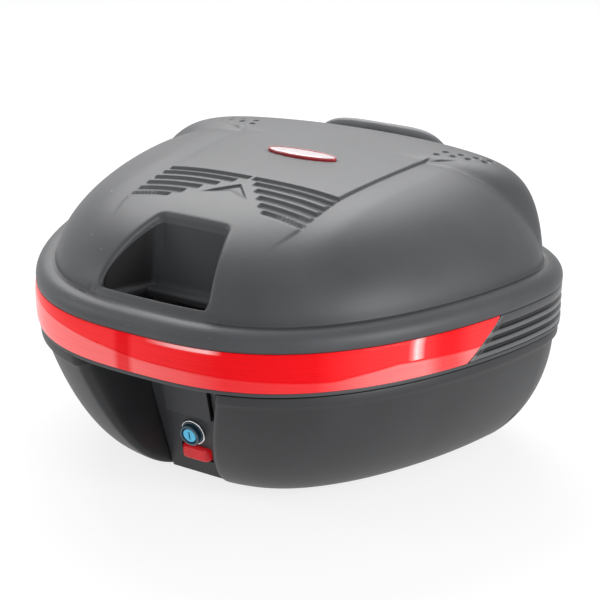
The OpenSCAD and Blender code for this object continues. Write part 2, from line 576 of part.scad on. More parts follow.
// Removes one side of the slanted line where the lens ends and the grille starts.
// beyond = 1 removes what is behind the line, -1 what is in front of it
module end_cut(beyond, gap) {
    foot = edge(lens_end[0], 0);
    top = edge(lens_end[1], 0);
    run = norm(top - foot);
    over = 8;
    reach = 120;
    lean = run / (lens_z[1] - lens_z[0]);
    low = -over * lean + beyond * gap;
    high = run + over * lean + beyond * gap;
    translate([foot.x, foot.y, 0]) rotate([90, 0, atan2(top.y - foot.y, top.x - foot.x)])
        translate([0, 0, -reach / 4]) linear_extrude(reach / 2) polygon([[low, lens_z[0] - over],
            [low + beyond * reach, lens_z[0] - over], [high + beyond * reach, lens_z[1] + over], [high, lens_z[1] + over]]);
}
module lens_strip(section) {
    difference() {
        band_loft(section, -band_turn[1], band_turn[1]);
        end_cut(1, 0);
        mirror([1, 0, 0]) end_cut(1, 0);
    }
}
module lens_carrier() {
    color("#1a1a1c") lens_strip([[4.8, lens_z[0]], [1.8, lens_z[0]], [1.8, lens_z[1]], [4.8, lens_z[1]]]);
}
module reflector_lens() {
    crown = 8;
    color("#d4101c", 0.85) lens_strip([[1.7, lens_z[0]], [-0.5, lens_z[0]], [-lens_proud, lens_z[0] + crown],
        [-lens_proud, lens_z[1] - crown], [-0.5, lens_z[1]], [1.7, lens_z[1]]]);
}
grooves = 3;
module side_grille() {
    pitch = (lens_z[1] - lens_z[0]) / (grooves + 1);
    ridges = flat([for (k = [0:grooves]) let(z = lens_z[0] + k * pitch)
        [[3.4, z + (k > 0 ? 2 : 0)], [0.4, z + (k > 0 ? 3.4 : 0)], [0.4, z + pitch - (k < grooves ? 1.2 : 0)],
         [3.4, z + pitch - (k < grooves ? 0.2 : 0)]]]);
    color("#1d1e21") difference() {
        band_loft(concat([[4.8, lens_z[0]]], ridges, [[4.8, lens_z[1]]]), band_turn[0], band_turn[2]);
        end_cut(-1, -mech_gap * 2);
    }
}
module side_grille_left() { mirror([1, 0, 0]) side_grille(); }
module side_grille_right() { side_grille(); }

function oval(a, b, n = 64) = [for (i = [0:n - 1]) [a * cos(360 * i / n), b * sin(360 * i / n)]];
module badge_bezel() {
    color("#b01820") translate([0, badge_y, badge_z]) difference() {
        linear_extrude(4.6) polygon(oval(badge.x, badge.y));
        translate([0, 0, 2.6]) linear_extrude(4) polygon(oval(badge.x - 1.6, badge.y - 1.6));
    }
}
module badge_plate() {
    color("#d8cfd2") translate([0, badge_y, badge_z + 2.6]) linear_extrude(1.4)
        polygon(oval(badge.x - 1.9, badge.y - 1.9));
}
module backrest_pad() {
    r = 7;
    taper = 10;
    color("#2a2b2e") difference() {
        hull() for (x = [-1, 1]) for (z = [0, 1])
            translate([x * (pad.x / 2 - r - (1 - z) * taper), pad_y, pad_z + r + z * (pad.z - 2 * r)])
                rotate([-90, 0, 0]) cylinder(r = r, h = pad.y, $fn = 32);
        for (s = [-1, 1]) translate([s * pad_screw.x, pad_y - 1, pad_screw.y]) rotate([-90, 0, 0])
            cylinder(r = screw_r - 0.2, h = pad.y - 2, $fn = 24);
    }
}
module backrest_screws() {
    color("#8d8f92") for (s = [-1, 1]) translate([s * pad_screw.x, pad_seat_y, pad_screw.y])
        rotate([-90, 0, 0]) screw(16, 4, 2);
}
hasp_top = lid_z + 22;
module lid_hasp() {
    color("#26272a") difference() {
        union() {
            on_panel() translate([-hasp_w, hasp_foot, 0]) cube([2 * hasp_w, up_panel(hasp_top) - hasp_foot, hasp_t]);
            translate([-hasp_w, panel_y(lid_z + 2), lid_z + 2])
                cube([2 * hasp_w, slot_y1 - cup_wall - panel_y(lid_z + 2), hasp_top - lid_z - 2]);
        }
        on_panel() translate([-bolt.x / 2 - 5.5, bolt[2] - bolt.y / 2 - 3, -1]) cube([bolt.x + 11, bolt.y + 6, 1 + bolt_tip + latch_travel + 0.8]);
        for (s = [-1, 1]) translate([s * 15, panel_y(hasp_screw_z) + 2, hasp_screw_z]) rotate([-90, 0, 0])
            cylinder(r = screw_r - 0.2, h = 60, $fn = 24);
    }
}
module strike() {
    color("#8d8f92") on_panel() translate([0, bolt[2], 0.2]) difference() {
        translate([-bolt.x / 2 - 5.5, -bolt.y / 2 - 3, 0]) cube([bolt.x + 11, bolt.y + 6, 1.8]);
        translate([-bolt.x / 2 - 0.5, -bolt.y / 2 - 0.5, -1]) cube([bolt.x + 1, bolt.y + 1, 4]);
    }
}
module hasp_screws() {
    color("#8d8f92") for (s = [-1, 1]) translate([s * 15, slot_y1, hasp_screw_z]) rotate([90, 0, 0]) screw(14);
}

lower_shell();
rim_seal();
lock_panel();
panel_screws();
lock_housing();
floor_frame();
floor_screws();
front_claws();
hinge_base_left();
hinge_base_right();
hinge_base_screws();
hinge_pins();
lid_shell();
handle_cup();
lens_carrier();
reflector_lens();
side_grille_left();
side_grille_right();
badge_bezel();
badge_plate();
backrest_pad();
backrest_screws();
lid_hasp();
hasp_screws();
strike();
hinge_leaf_left();
hinge_leaf_right();
hinge_leaf_screws();
lock_sleeve();
lock_bezel();
key_barrel();
key_face();
latch_bolt();
release_button();
plate_catch();
release_spring();
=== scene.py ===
import math
import bmesh
import bpy
import numpy as np
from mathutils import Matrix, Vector


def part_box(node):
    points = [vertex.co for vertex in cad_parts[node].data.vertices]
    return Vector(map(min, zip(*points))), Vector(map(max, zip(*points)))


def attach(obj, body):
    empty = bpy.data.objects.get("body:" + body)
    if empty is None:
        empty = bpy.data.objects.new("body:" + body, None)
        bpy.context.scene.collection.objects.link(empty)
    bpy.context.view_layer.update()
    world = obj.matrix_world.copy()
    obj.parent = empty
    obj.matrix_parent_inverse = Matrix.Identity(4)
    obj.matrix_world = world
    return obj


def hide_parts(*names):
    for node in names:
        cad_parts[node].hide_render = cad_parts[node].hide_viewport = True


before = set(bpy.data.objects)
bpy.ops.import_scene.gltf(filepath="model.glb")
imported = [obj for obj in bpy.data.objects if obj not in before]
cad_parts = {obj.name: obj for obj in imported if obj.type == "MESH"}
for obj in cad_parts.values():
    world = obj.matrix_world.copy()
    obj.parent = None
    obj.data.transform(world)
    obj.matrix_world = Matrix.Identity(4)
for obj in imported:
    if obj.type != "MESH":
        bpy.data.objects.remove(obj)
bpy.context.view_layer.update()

# Looks of the motorcycle top case. Lengths are in millimetres in the row frame until a mesh is made.
MM = 0.001
COARSE = 1      # step between samples of the fine skins


# ---- sizes, from the frame ----
def box_mm(node):
    low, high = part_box(node)
    return np.array(low) / MM, np.array(high) / MM


LID_LOW, LID_HIGH = box_mm("lid_shell")
TUB_H = box_mm("lower_shell")[1][2]
LENS_LOW, LENS_HIGH = box_mm("reflector_lens")
BEZEL_LOW, BEZEL_HIGH = box_mm("badge_bezel")
HALF_W = LID_HIGH[0]
NOSE_Y = LID_LOW[1]
REAR_LEN = 148                       # from the widest line to the back of the shell
WIDE_Y = LID_HIGH[1] - REAR_LEN      # widest line of the outline
FRONT_LEN = WIDE_Y - NOSE_Y
NOSE_SQUARE, FLANK_FULL, REAR_SQUARE = 2.8, 1.45, 2.15
LID_Z = LID_LOW[2]
LENS_Z0, LENS_Z1 = LENS_LOW[2], LENS_HIGH[2]
BAND_Z = TUB_H + 47                  # top of the band
FLANGE_W, FLANGE_H, FLANGE_N = 21, 17, 2.6       # width, height and roundness of the flange
CREASE_Z = BAND_Z + FLANGE_H         # foot of the dome
DOME_H = 88
CROWN_Z = CREASE_Z + DOME_H
DOME_Y = WIDE_Y + 26                 # plan centre of the dome
DOME_FRONT, DOME_BACK = (4.0, 1.6), (7.0, 7.0)   # roundness in plan and in height
DOME_TURN = (100, 140)               # angles between which one becomes the other
LENS_END = (63.8, 70.8)              # angle of the lens ends, at the foot and at the top
GRILLE_END = 119.4
GRILLE_RIDGES = 4
BADGE_A, BADGE_B = (BEZEL_HIGH[:2] - BEZEL_LOW[:2]) / 2         # half axes of the badge
BADGE_Y = (BEZEL_HIGH[1] + BEZEL_LOW[1]) / 2
PANEL_LEAN = math.radians(12)
LOCK_Z = 54.0                        # height of the lock axis on the panel
SLOT_INSET, SLOT_DEPTH = 22, 63      # inset of the front edge of the handle slot, and its depth at the ledge
CUP_WALL = 2.6
PANEL_GAP = 12.4                     # from the lock panel to the back wall of its bay
SLOT_FOOT_Y = NOSE_Y + SLOT_INSET + SLOT_DEPTH   # back wall of the slot at the ledge
BAY_Y0 = SLOT_FOOT_Y - CUP_WALL - PANEL_GAP      # plane of the lock panel at the parting line


def outline(t):
    r = np.radians(t)
    s = np.abs(np.sin(r))
    front = WIDE_Y - FRONT_LEN * np.maximum(0, 1 - s ** NOSE_SQUARE) ** (1 / FLANK_FULL)
    rear = WIDE_Y + REAR_LEN * np.maximum(0, 1 - s ** REAR_SQUARE) ** (1 / REAR_SQUARE)
    return np.stack([HALF_W * np.sin(r), np.where(np.abs(t) <= 90, front, rear)], -1)


def edge(t, inset):
    """Point of the outline at angle t (0 is the nose, 180 the back), moved inwards."""
    t = np.asarray(t, float)
    d = outline(t + 0.2) - outline(t - 0.2)
    inward = np.stack([-d[..., 1], d[..., 0]], -1) / np.linalg.norm(d, axis=-1, keepdims=True)
    return outline(t) + inward * np.asarray(inset, float)[..., None]


def smooth(u):
    v = np.clip(u, 0, 1)
    return v * v * (3 - 2 * v)


def even_angles(first, last, step, inset=10):
    """Angles whose points on the outline are about step millimetres apart."""
    dense = np.linspace(first, last, 4000)
    way = np.concatenate([[0], np.cumsum(np.linalg.norm(np.diff(edge(dense, inset), axis=0), axis=1))])
    return np.interp(np.linspace(0, way[-1], max(3, int(way[-1] / step))), way, dense)


def closed_angles(step):
    half = even_angles(0, 180, step)
    return np.concatenate([-half[:0:-1], half[:-1]])


def dome_powers(t):
    u = smooth((np.abs(t) - DOME_TURN[0]) / (DOME_TURN[1] - DOME_TURN[0]))
    return (DOME_FRONT[0] + (DOME_BACK[0] - DOME_FRONT[0]) * u,
            DOME_FRONT[1] + (DOME_BACK[1] - DOME_FRONT[1]) * u)


def dome(t, k, inset=FLANGE_W, foot_z=CREASE_Z, height=DOME_H):
    """Point of the dome: k is the share of the way from its middle (0) to its foot (1)."""
    n, m = dome_powers(t)
    foot = edge(t, np.full(np.shape(t), inset))
    x = foot[..., 0] * k
    y = DOME_Y + (foot[..., 1] - DOME_Y) * k
    z = foot_z + height * np.maximum(0, 1 - k ** n) ** (1 / m)
    return x, y, z


# ---- relief of the lid: depths below the smooth dome, over the plan ----
RIBS_Y = (-41, -53.5, -67.5, -81, -94, -105)
RIBS_IN = (2.5, 12, 23, 35, 45.5, 56)
RIB_OUT = 105
DIMPLES = ((117, 127), (134, 131), (151, 133.5), (168, 139), (121, 140), (139, 141), (156, 143), (170, 148))
PLATEAU_FRONT, PLATEAU_BACK = -41, 104


def rib_relief(x, y):
    ax = np.abs(x)
    depth = np.zeros_like(x)
    for i, (ry, inner) in enumerate(zip(RIBS_Y, RIBS_IN)):
        across = ry - 0.0003 * ax ** 2 - y                 # distance in front of the groove's rear wall
        shape = smooth((across + 0.8) / 1.6) * (1 - smooth((across - 1.8) / (9.5 if i < 5 else 6)))
        ends = smooth((ax - inner) / 2.5 + 0.5) * (1 - smooth((ax - RIB_OUT + i * 0.4) / 3 + 0.5))
        depth = np.maximum(depth, (3.0 if i == 0 else 2.9) * shape * ends)
    return depth


def chevron_relief(x, y):
    ax = np.abs(x)
    outer = (-65 - 1.09 * ax - y) / 1.48
    inner = (y + 85 + 0.47 * ax) / 1.10
    return 2.1 * smooth((outer + 0.6) / 1.2) * smooth(inner / 9) * (inner > 0)


def plateau_relief(x, y):
    ax = np.abs(x)
    side = 103 + 12 * (y - PLATEAU_FRONT) / (PLATEAU_BACK - PLATEAU_FRONT)
    side = np.where(y < PLATEAU_FRONT, 103 - 11.5 * smooth((-110 - y) / 60), side)
    outside = ax - side
    strength = np.where(y > PLATEAU_BACK, 1 - smooth((y - PLATEAU_BACK) / 12), 1.0)
    strength = np.where(y < PLATEAU_FRONT, 0.95 * (1 - smooth((-75 - y) / 90)), strength)
    step = smooth((outside + 1.3) / 2.6) * (1 - smooth((outside - 1) / 34))
    groove = np.exp(-(outside / 1.6) ** 2)
    return strength * (2.3 * step + 0.5 * groove)


def tail_relief(x, y):
    """Groove that runs on from the rear corner of the plateau, outwards and back."""
    ax = np.abs(x)
    u = (ax - 115) / 36
    across = y - (PLATEAU_BACK + 21 * u)
    return 1.6 * np.exp(-(across / 2.2) ** 2) * smooth((ax - 112) / 4) * (1 - smooth((u - 0.35) / 0.7))


def dimple_relief(x, y):
    depth = np.zeros_like(x)
    for dx, dy in DIMPLES:
        r = np.hypot(np.abs(x) - dx, y - dy)
        depth = np.maximum(depth, 1.9 * (1 - smooth((r - 1.6) / 3.0)))
    return depth


def badge_relief(x, y):
    r = np.hypot(x / (BADGE_A + 1.6), (y - BADGE_Y) / (BADGE_B + 1.6))
    return 0.9 * (1 - smooth((r - 0.96) / 0.1))


def relief(x, y):
    total = np.maximum(rib_relief(x, y), chevron_relief(x, y))
    total = np.maximum(total, np.maximum(plateau_relief(x, y), tail_relief(x, y)))
    return total + dimple_relief(x, y) + badge_relief(x, y)


# ---- meshes ----
def piece(name, points, faces, body, material, replaces=(), slot=None):
    mesh = bpy.data.meshes.new(name)
    mesh.from_pydata((np.asarray(points) * MM).tolist(), [], faces)
    mesh.polygons.foreach_set("use_smooth", [True] * len(mesh.polygons))
    mesh.materials.append(material)
    mesh.validate()
    obj = bpy.data.objects.new(name, mesh)
    bpy.context.scene.collection.objects.link(obj)
    if replaces:
        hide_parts(*replaces)
    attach(obj, body)
    return obj


def grid_faces(rows, cols, closed=False, wrap_rows=False, keep=None, flip=False, first=0):
    """Quads between rows of cols points each; closed joins the last column to the first."""
    faces = []
    for r in range(rows if wrap_rows else rows - 1):
        below, above = r * cols, (r + 1) % rows * cols
        for c in range(cols if closed else cols - 1):
            d = (c + 1) % cols
            quad = (below + c, below + d, above + d, above + c)
            if keep is None or keep(quad):
                quad = quad[::-1] if flip else quad
                faces.append(tuple(first + v for v in quad))
    return faces


def rings_piece(name, rings, body, material, caps=(False, False), flip=False, **more):
    """Piece lofted through closed rings of equal length; caps fans the first or last ring shut."""
    rows, cols = len(rings), len(rings[0])
    points = np.concatenate(rings)
    faces = grid_faces(rows, cols, closed=True, flip=flip)
    for end, at in ((0, 0), (1, rows - 1)):
        if caps[end]:
            middle = len(points)
            points = np.concatenate([points, [rings[at].mean(0)]])
            for c in range(cols):
                tri = (at * cols + c, at * cols + (c + 1) % cols, middle)
                faces.append(tri if (end == 1) != flip else tri[::-1])
    return piece(name, points, faces, body, material, **more)


# ---- materials ----
class Look:
    """A procedural material: one principled shader, with helpers for what varies over it."""

    def __init__(self, name, colour, rough, metal=0.0, specular=0.5, coat=0.0, coat_rough=0.1):
        self.material = bpy.data.materials.new(name)
        self.material.use_nodes = True
        self.tree = self.material.node_tree
        self.shader = self.tree.nodes["Principled BSDF"]
        self.shader.inputs["Base Color"].default_value = (*colour, 1)
        self.shader.inputs["Roughness"].default_value = rough
        self.shader.inputs["Metallic"].default_value = metal
        self.shader.inputs["Specular IOR Level"].default_value = specular
        self.shader.inputs["Coat Weight"].default_value = coat
        self.shader.inputs["Coat Roughness"].default_value = coat_rough
        self.place = self.node("ShaderNodeTexCoord").outputs["Object"]
        self.height = None

    def node(self, kind, **values):
        made = self.tree.nodes.new(kind)
        for key, value in values.items():
            setattr(made, key, value)
        return made

    def link(self, a, b):
        self.tree.links.new(a, b)

    def noise(self, scale, detail=3.0, stretch=(1, 1, 1)):
        mapping = self.node("ShaderNodeMapping")
        mapping.inputs["Scale"].default_value = stretch
        self.link(self.place, mapping.inputs["Vector"])
        made = self.node("ShaderNodeTexNoise")
        made.inputs["Scale"].default_value = scale
        made.inputs["Detail"].default_value = detail
        self.link(mapping.outputs["Vector"], made.inputs["Vector"])
        return made.outputs["Fac"]

    def ramp(self, source, low, high, a=(0, 0, 0), b=(1, 1, 1)):
        ramp = self.node("ShaderNodeValToRGB")
        ramp.color_ramp.elements[0].position = low
        ramp.color_ramp.elements[1].position = high
        ramp.color_ramp.elements[0].color = (*a, 1)
        ramp.color_ramp.elements[1].color = (*b, 1)
        self.link(source, ramp.inputs["Fac"])
        return ramp.outputs["Color"]

    def math(self, operation, a, b):
        made = self.node("ShaderNodeMath", operation=operation)
        for slot_index, value in enumerate((a, b)):
            if isinstance(value, (int, float)):
                made.inputs[slot_index].default_value = value
            else:
                self.link(value, made.inputs[slot_index])
        return made.outputs["Value"]

    def clamp(self, value):
        return self.math("MINIMUM", self.math("MAXIMUM", value, 0.0), 1.0)

    def mix(self, share, a, b):
        made = self.node("ShaderNodeMix", data_type="RGBA")
        if isinstance(share, (int, float)):
            made.inputs["Factor"].default_value = share
        else:
            self.link(share, made.inputs["Factor"])
        for name, value in (("A", a), ("B", b)):
            target = [s for s in made.inputs if s.name == name and s.type == "RGBA"][0]
            if isinstance(value, tuple):
                target.default_value = (*value, 1)
            else:
                self.link(value, target)
        return [s for s in made.outputs if s.type == "RGBA"][0]

    def steps(self, source, pairs):
        """Smooth curve through [place, value] pairs, as a grey ramp."""
        ramp = self.node("ShaderNodeValToRGB")
        marks = ramp.color_ramp.elements
        for number, (place, value) in enumerate(pairs):
            mark = marks[number] if number < 2 else marks.new(place)
            mark.position = place
            mark.color = (value, value, value, 1)
        self.link(source, ramp.inputs["Fac"])
        return ramp.outputs["Color"]

    def axis(self, index):
        made = self.node("ShaderNodeSeparateXYZ")
        self.link(self.place, made.inputs["Vector"])
        return made.outputs[index]

    def colour(self, source):
        self.link(source, self.shader.inputs["Base Color"])

    def rough(self, source, low, high):
        made = self.node("ShaderNodeMapRange")
        made.inputs["To Min"].default_value = low
        made.inputs["To Max"].default_value = high
        self.link(source, made.inputs["Value"])
        self.link(made.outputs["Result"], self.shader.inputs["Roughness"])

    def bump(self, source, distance):
        made = self.node("ShaderNodeBump")
        made.inputs["Strength"].default_value = 1.0
        made.inputs["Distance"].default_value = distance
        self.link(source, made.inputs["Height"])
        if self.height:
            self.link(self.height, made.inputs["Normal"])
        self.height = made.outputs["Normal"]
        self.link(self.height, self.shader.inputs["Normal"])


def grained(name, colour, rough, grain=0.00007, scuffs=0.0, specular=0.5, dust=0.12):
    """Moulded plastic: fine grain, slow changes of tone and gloss, a few fine scuffs."""
    look = Look(name, colour, rough, specular=specular)
    slow = look.noise(9, 4)
    fine = look.noise(1300, 2)
    lighter = tuple(c * (1 + 2.2 * dust) + 0.004 for c in colour)
    darker = tuple(c * (1 - dust) for c in colour)
    tone = look.ramp(slow, 0.35, 0.68, darker, lighter)
    if scuffs:
        streaks = look.noise(55, 2, (1, 1, 7))
        patches = look.noise(7, 2)
        marks = look.math("MULTIPLY", look.math("GREATER_THAN", streaks, 0.735),
                          look.math("GREATER_THAN", patches, 0.56))
        tone = look.mix(look.math("MULTIPLY", marks, scuffs), tone, tuple(c + 0.16 for c in colour))
    look.colour(tone)
    look.rough(look.math("ADD", look.math("MULTIPLY", slow, 0.7), look.math("MULTIPLY", fine, 0.3)),
               rough - 0.07, rough + 0.09)
    look.bump(fine, grain)
    look.bump(look.noise(330, 3), grain * 1.3)
    return look.material


def metal(name, colour, rough, brushed=(1, 1, 14), bump=0.00002):
    look = Look(name, colour, rough, metal=1.0)
    lines = look.noise(420, 3, brushed)
    cloud = look.noise(26, 3)
    look.colour(look.ramp(cloud, 0.3, 0.75, tuple(c * 0.82 for c in colour),
                          tuple(min(1, c * 1.08) for c in colour)))
    look.rough(lines, rough - 0.06, rough + 0.14)
    look.bump(lines, bump)
    return look.material


def glossy(name, colour, rough=0.18, coat=0.6, vary=0.12, bump=0.00004, glow=0.0):
    look = Look(name, colour, rough, coat=coat, coat_rough=0.06)
    # glow: emission strength, painted light that lifts the part out of the shade it sits in
    look.shader.inputs["Emission Color"].default_value = (*colour, 1)
    look.shader.inputs["Emission Strength"].default_value = glow
    cloud = look.noise(60, 3)
    look.colour(look.ramp(cloud, 0.3, 0.7, tuple(c * (1 - vary) for c in colour),
                          tuple(min(1, c * (1 + vary)) for c in colour)))
    look.rough(cloud, rough - 0.04, rough + 0.08)
    look.bump(look.noise(500, 2), bump)
    return look.material


def lens_material():
    """Red reflector plastic: deep in the middle, with dark joints. Painted reflection makes it paler towards the ends
    and below. Painted highlights lie along the top edge and in a thin upright bar, and it gives off a little light of
    its own (painted glow).
    """
    look = Look("lens_red", (0.72, 0.0, 0.006), 0.16, specular=0.05, coat=0.03, coat_rough=0.05)
    # emission: the lens gives off a little light of its own, a painted glow
    look.shader.inputs["Emission Color"].default_value = (1.0, 0.004, 0.01, 1)
    look.shader.inputs["Emission Strength"].default_value = 0.20
    x, z = look.axis(0), look.axis(2)
    share = look.math("DIVIDE", look.math("SUBTRACT", z, LENS_Z0 * MM), (LENS_Z1 - LENS_Z0) * MM)
    across = look.math("ADD", look.math("DIVIDE", x, 2 * HALF_W * MM), 0.5)
    lines = look.noise(1.0, 2, (14, 14, 900))
    # height of the border between the lower zone, a painted reflection of the floor, and the upper zone; then how pale
    # the painted reflection makes them along the lens, with dips at the dark joints
    border = look.steps(across, ((0.04, 0.62), (0.18, 0.80), (0.33, 0.66), (0.50, 0.40), (0.67, 0.34),
                                 (0.82, 0.24), (0.89, 0.45), (0.96, 0.36)))
    painted_paleness = look.steps(across, ((0.03, 0.85), (0.18, 1.0), (0.452, 0.80), (0.464, 0.12), (0.484, 0.12),
                               (0.496, 0.76), (0.60, 0.45), (0.67, 0.08), (0.80, 0.10), (0.86, 0.70),
                               (0.915, 0.95), (0.928, 0.25), (0.94, 0.25), (0.955, 0.90)))
    ripple = look.math("MULTIPLY", look.math("SUBTRACT", lines, 0.5), 0.05)
    level = look.math("ADD", look.math("SUBTRACT", share, border), ripple)
    # below: share of the lower zone, which is painted reflection of the floor
    below = look.clamp(look.math("SUBTRACT", 0.5, look.math("MULTIPLY", level, 20.0)))
    # low: pink of the painted floor reflection in the lower zone; high: the upper zone, paler at the ends from painted
    # reflection
    low = look.mix(painted_paleness, (0.74, 0.020, 0.024), (1.0, 0.26, 0.25))
    high = look.mix(painted_paleness, (0.70, 0.0004, 0.004), (0.96, 0.050, 0.052))
    tone = look.mix(below, high, low)
    # a thin darker line along the border of the painted reflection
    seam = look.math("COMPARE", level, 0.03)
    seam.node.inputs[2].default_value = 0.012
    tone = look.mix(look.math("MULTIPLY", seam, 0.45), tone, (0.55, 0.0, 0.004))
    # glint_bar: a thin upright painted highlight across the upper zone
    glint_bar = look.steps(across, ((0.9015, 0.0), (0.905, 1.0), (0.9085, 1.0), (0.912, 0.0)))
    upper = look.math("GREATER_THAN", share, 0.48)
    tone = look.mix(look.math("MULTIPLY", glint_bar, upper), tone, (1.0, 0.72, 0.70))
    glint = look.steps(across, ((0.52, 0.0), (0.575, 0.85), (0.64, 1.0), (0.665, 0.0)))
    edge_light = look.ramp(share, 0.90, 0.94)
    tone = look.mix(look.math("MULTIPLY", glint, edge_light), tone, (1.0, 0.62, 0.60))
    streak = look.ramp(lines, 0.38, 0.62, (0.92, 0.88, 0.88), (1.0, 1.0, 1.0))
    product = look.node("ShaderNodeMix", data_type="RGBA", blend_type="MULTIPLY")
    colours = [s for s in product.inputs if s.type == "RGBA"]
    product.inputs["Factor"].default_value = 1.0
    look.link(tone, colours[0])
    look.link(streak, colours[1])
    look.colour([s for s in product.outputs if s.type == "RGBA"][0])
    look.rough(lines, 0.10, 0.22)
    look.bump(lines, 0.00010)
    return look.material


def pocket_material():
    """Lid plastic that gets darker down the well and on its left wall, where little light comes."""
    look = Look("pocket_plastic", (0.05, 0.05, 0.05), 0.5, specular=0.3)
    x, z = look.axis(0), look.axis(2)
    unlit = (0.006, 0.006, 0.007)
    well_z, wall_x, ledge_z = 0.199, -0.046, 0.2072      # metres
    down = look.ramp(look.math("MULTIPLY", look.math("SUBTRACT", z, well_z), 60.0), 0.0, 0.35, unlit, LID_GREY)
    side = look.ramp(look.math("MULTIPLY", look.math("SUBTRACT", x, wall_x), 60.0), 0.0, 0.9)
    side = look.math("MAXIMUM", side, look.math("LESS_THAN", z, ledge_z))
    look.colour(look.mix(side, unlit, down))
    fine = look.noise(1300, 2)
    look.rough(fine, 0.46, 0.6)
    look.bump(fine, 0.00007)
    return look.material


def grille_material():
    """Black plastic with unlit grooves between the four ridges."""
    look = Look("grille_plastic", (0.03, 0.03, 0.034), 0.32)
    pitch = (LENS_Z1 - LENS_Z0) * MM / GRILLE_RIDGES
    share = look.math("DIVIDE", look.math("SUBTRACT", look.axis(2), LENS_Z0 * MM), pitch)
    in_ridge = look.math("FRACT", share, 0.0)
    tone = look.ramp(in_ridge, 0.47, 0.51, (0.100, 0.102, 0.106), (0.002, 0.002, 0.002))
    top_ridge = look.math("GREATER_THAN", share, GRILLE_RIDGES - 1.0)
    look.colour(look.mix(top_ridge, tone, (0.046, 0.047, 0.05)))
    fine = look.noise(1300, 2)
    look.rough(fine, 0.26, 0.40)
    look.bump(fine, 0.00003)
    return look.material


LID_GREY = (0.044, 0.0455, 0.049)
LID_PLASTIC = grained("lid_plastic", LID_GREY, 0.46, scuffs=0.4)
# the tub is the same plastic as the lid; its darker colour is painted shade for the lower light it gets
SHADED_TUB_PLASTIC = grained("tub_plastic", (0.016, 0.0165, 0.018), 0.44, grain=0.00006)
POCKET_PLASTIC = pocket_material()
INNER_PLASTIC = grained("inner_plastic", (0.035, 0.036, 0.038), 0.55)
PANEL_PLASTIC = grained("panel_plastic", (0.024, 0.025, 0.028), 0.42, grain=0.00004)
BLACK_PLASTIC = grained("black_plastic", (0.014, 0.014, 0.016), 0.40, grain=0.00004)
GRILLE_PLASTIC = grille_material()
SEAL_RUBBER = grained("seal_rubber", (0.010, 0.010, 0.011), 0.75, grain=0.0001)
PAD_SKIN = grained("pad_skin", (0.10, 0.101, 0.106), 0.45, grain=0.00016)
ZINC = metal("zinc_plate", (0.50, 0.51, 0.53), 0.36)
SCREW_ZINC = metal("screw_zinc", (0.56, 0.57, 0.60), 0.30, brushed=(8, 8, 8))
BRIGHT = metal("bright_steel", (0.70, 0.71, 0.73), 0.20)
CHROME = metal("chrome", (0.80, 0.81, 0.83), 0.10, brushed=(3, 3, 3), bump=0.000008)
BARREL = metal("barrel_metal", (0.05, 0.05, 0.055), 0.38)
BADGE_RED = glossy("badge_red", (0.42, 0.02, 0.03))
BADGE_SILVER = glossy("badge_silver", (0.62, 0.52, 0.53), rough=0.24, coat=0.8, vary=0.10)
SLEEVE_BLUE = glossy("sleeve_blue", (0.020, 0.075, 0.115), rough=0.28, coat=0.4)
# the key face and the button are given a glow: painted light
FACE_BLUE = glossy("face_blue", (0.10, 0.56, 0.84), rough=0.30, coat=0.2, vary=0.06, glow=0.22)
BUTTON_RED = glossy("button_red", (0.74, 0.010, 0.016), rough=0.32, coat=0.15, vary=0.10, glow=0.22)
LENS_RED = lens_material()


# ---- lid ----
SLOT_MOUTH, SLOT_BACK = 72.0, 42.0   # half widths of the slot, at its mouth and at its back
SLOT_TOP_Y = SLOT_FOOT_Y + 16        # back wall of the slot at the dome
PATCH = 13.0                         # width of the strip of lid that belongs to the pocket's mesh
MOUTH_T = math.degrees(math.asin(SLOT_MOUTH / HALF_W))
FRONT_T = np.linspace(-75, 75, 1200)


def front_y(x, inset):
    """Y of the front of the outline, moved inwards, at a given x."""
    line = edge(FRONT_T, np.full(FRONT_T.shape, float(inset)))
    return np.interp(x, line[:, 0], line[:, 1])


def slot_distance(x, y, back_y=SLOT_TOP_Y, radius=7.0):
    """Distance in plan to the outline of the slot, negative inside, with rounded corners."""
    mouth = edge(MOUTH_T, SLOT_INSET)
    lean = (mouth[0] - SLOT_BACK) / (back_y - mouth[1])
    side = (np.abs(x) - (SLOT_BACK + (back_y - y) * lean)) / math.hypot(1, lean)
    ends = np.maximum(y - back_y, front_y(x, SLOT_INSET) - y)
    a, b = side + radius, ends + radius
    return np.hypot(np.maximum(a, 0), np.maximum(b, 0)) + np.minimum(np.maximum(a, b), 0) - radius


def lid_height(x, y):
    """Height of the lid near the slot, on the dome and on the flange in front of it."""
    k = np.full(np.shape(x), 0.8)
    for _ in range(14):
        k = (DOME_Y - y) / (DOME_Y - front_y(x / k, FLANGE_W))
    on_dome = CREASE_Z + DOME_H * np.maximum(0, 1 - np.clip(k, 0, 1) ** DOME_FRONT[0]) ** (1 / DOME_FRONT[1])
    inset = np.clip(FLANGE_W - (front_y(x, FLANGE_W) - y) * 0.99, 0, FLANGE_W)
    on_flange = BAND_Z + FLANGE_H * np.maximum(0, 1 - (1 - inset / FLANGE_W) ** FLANGE_N) ** (1 / FLANGE_N)
    return np.where(k <= 1, on_dome - relief(x, y), on_flange)


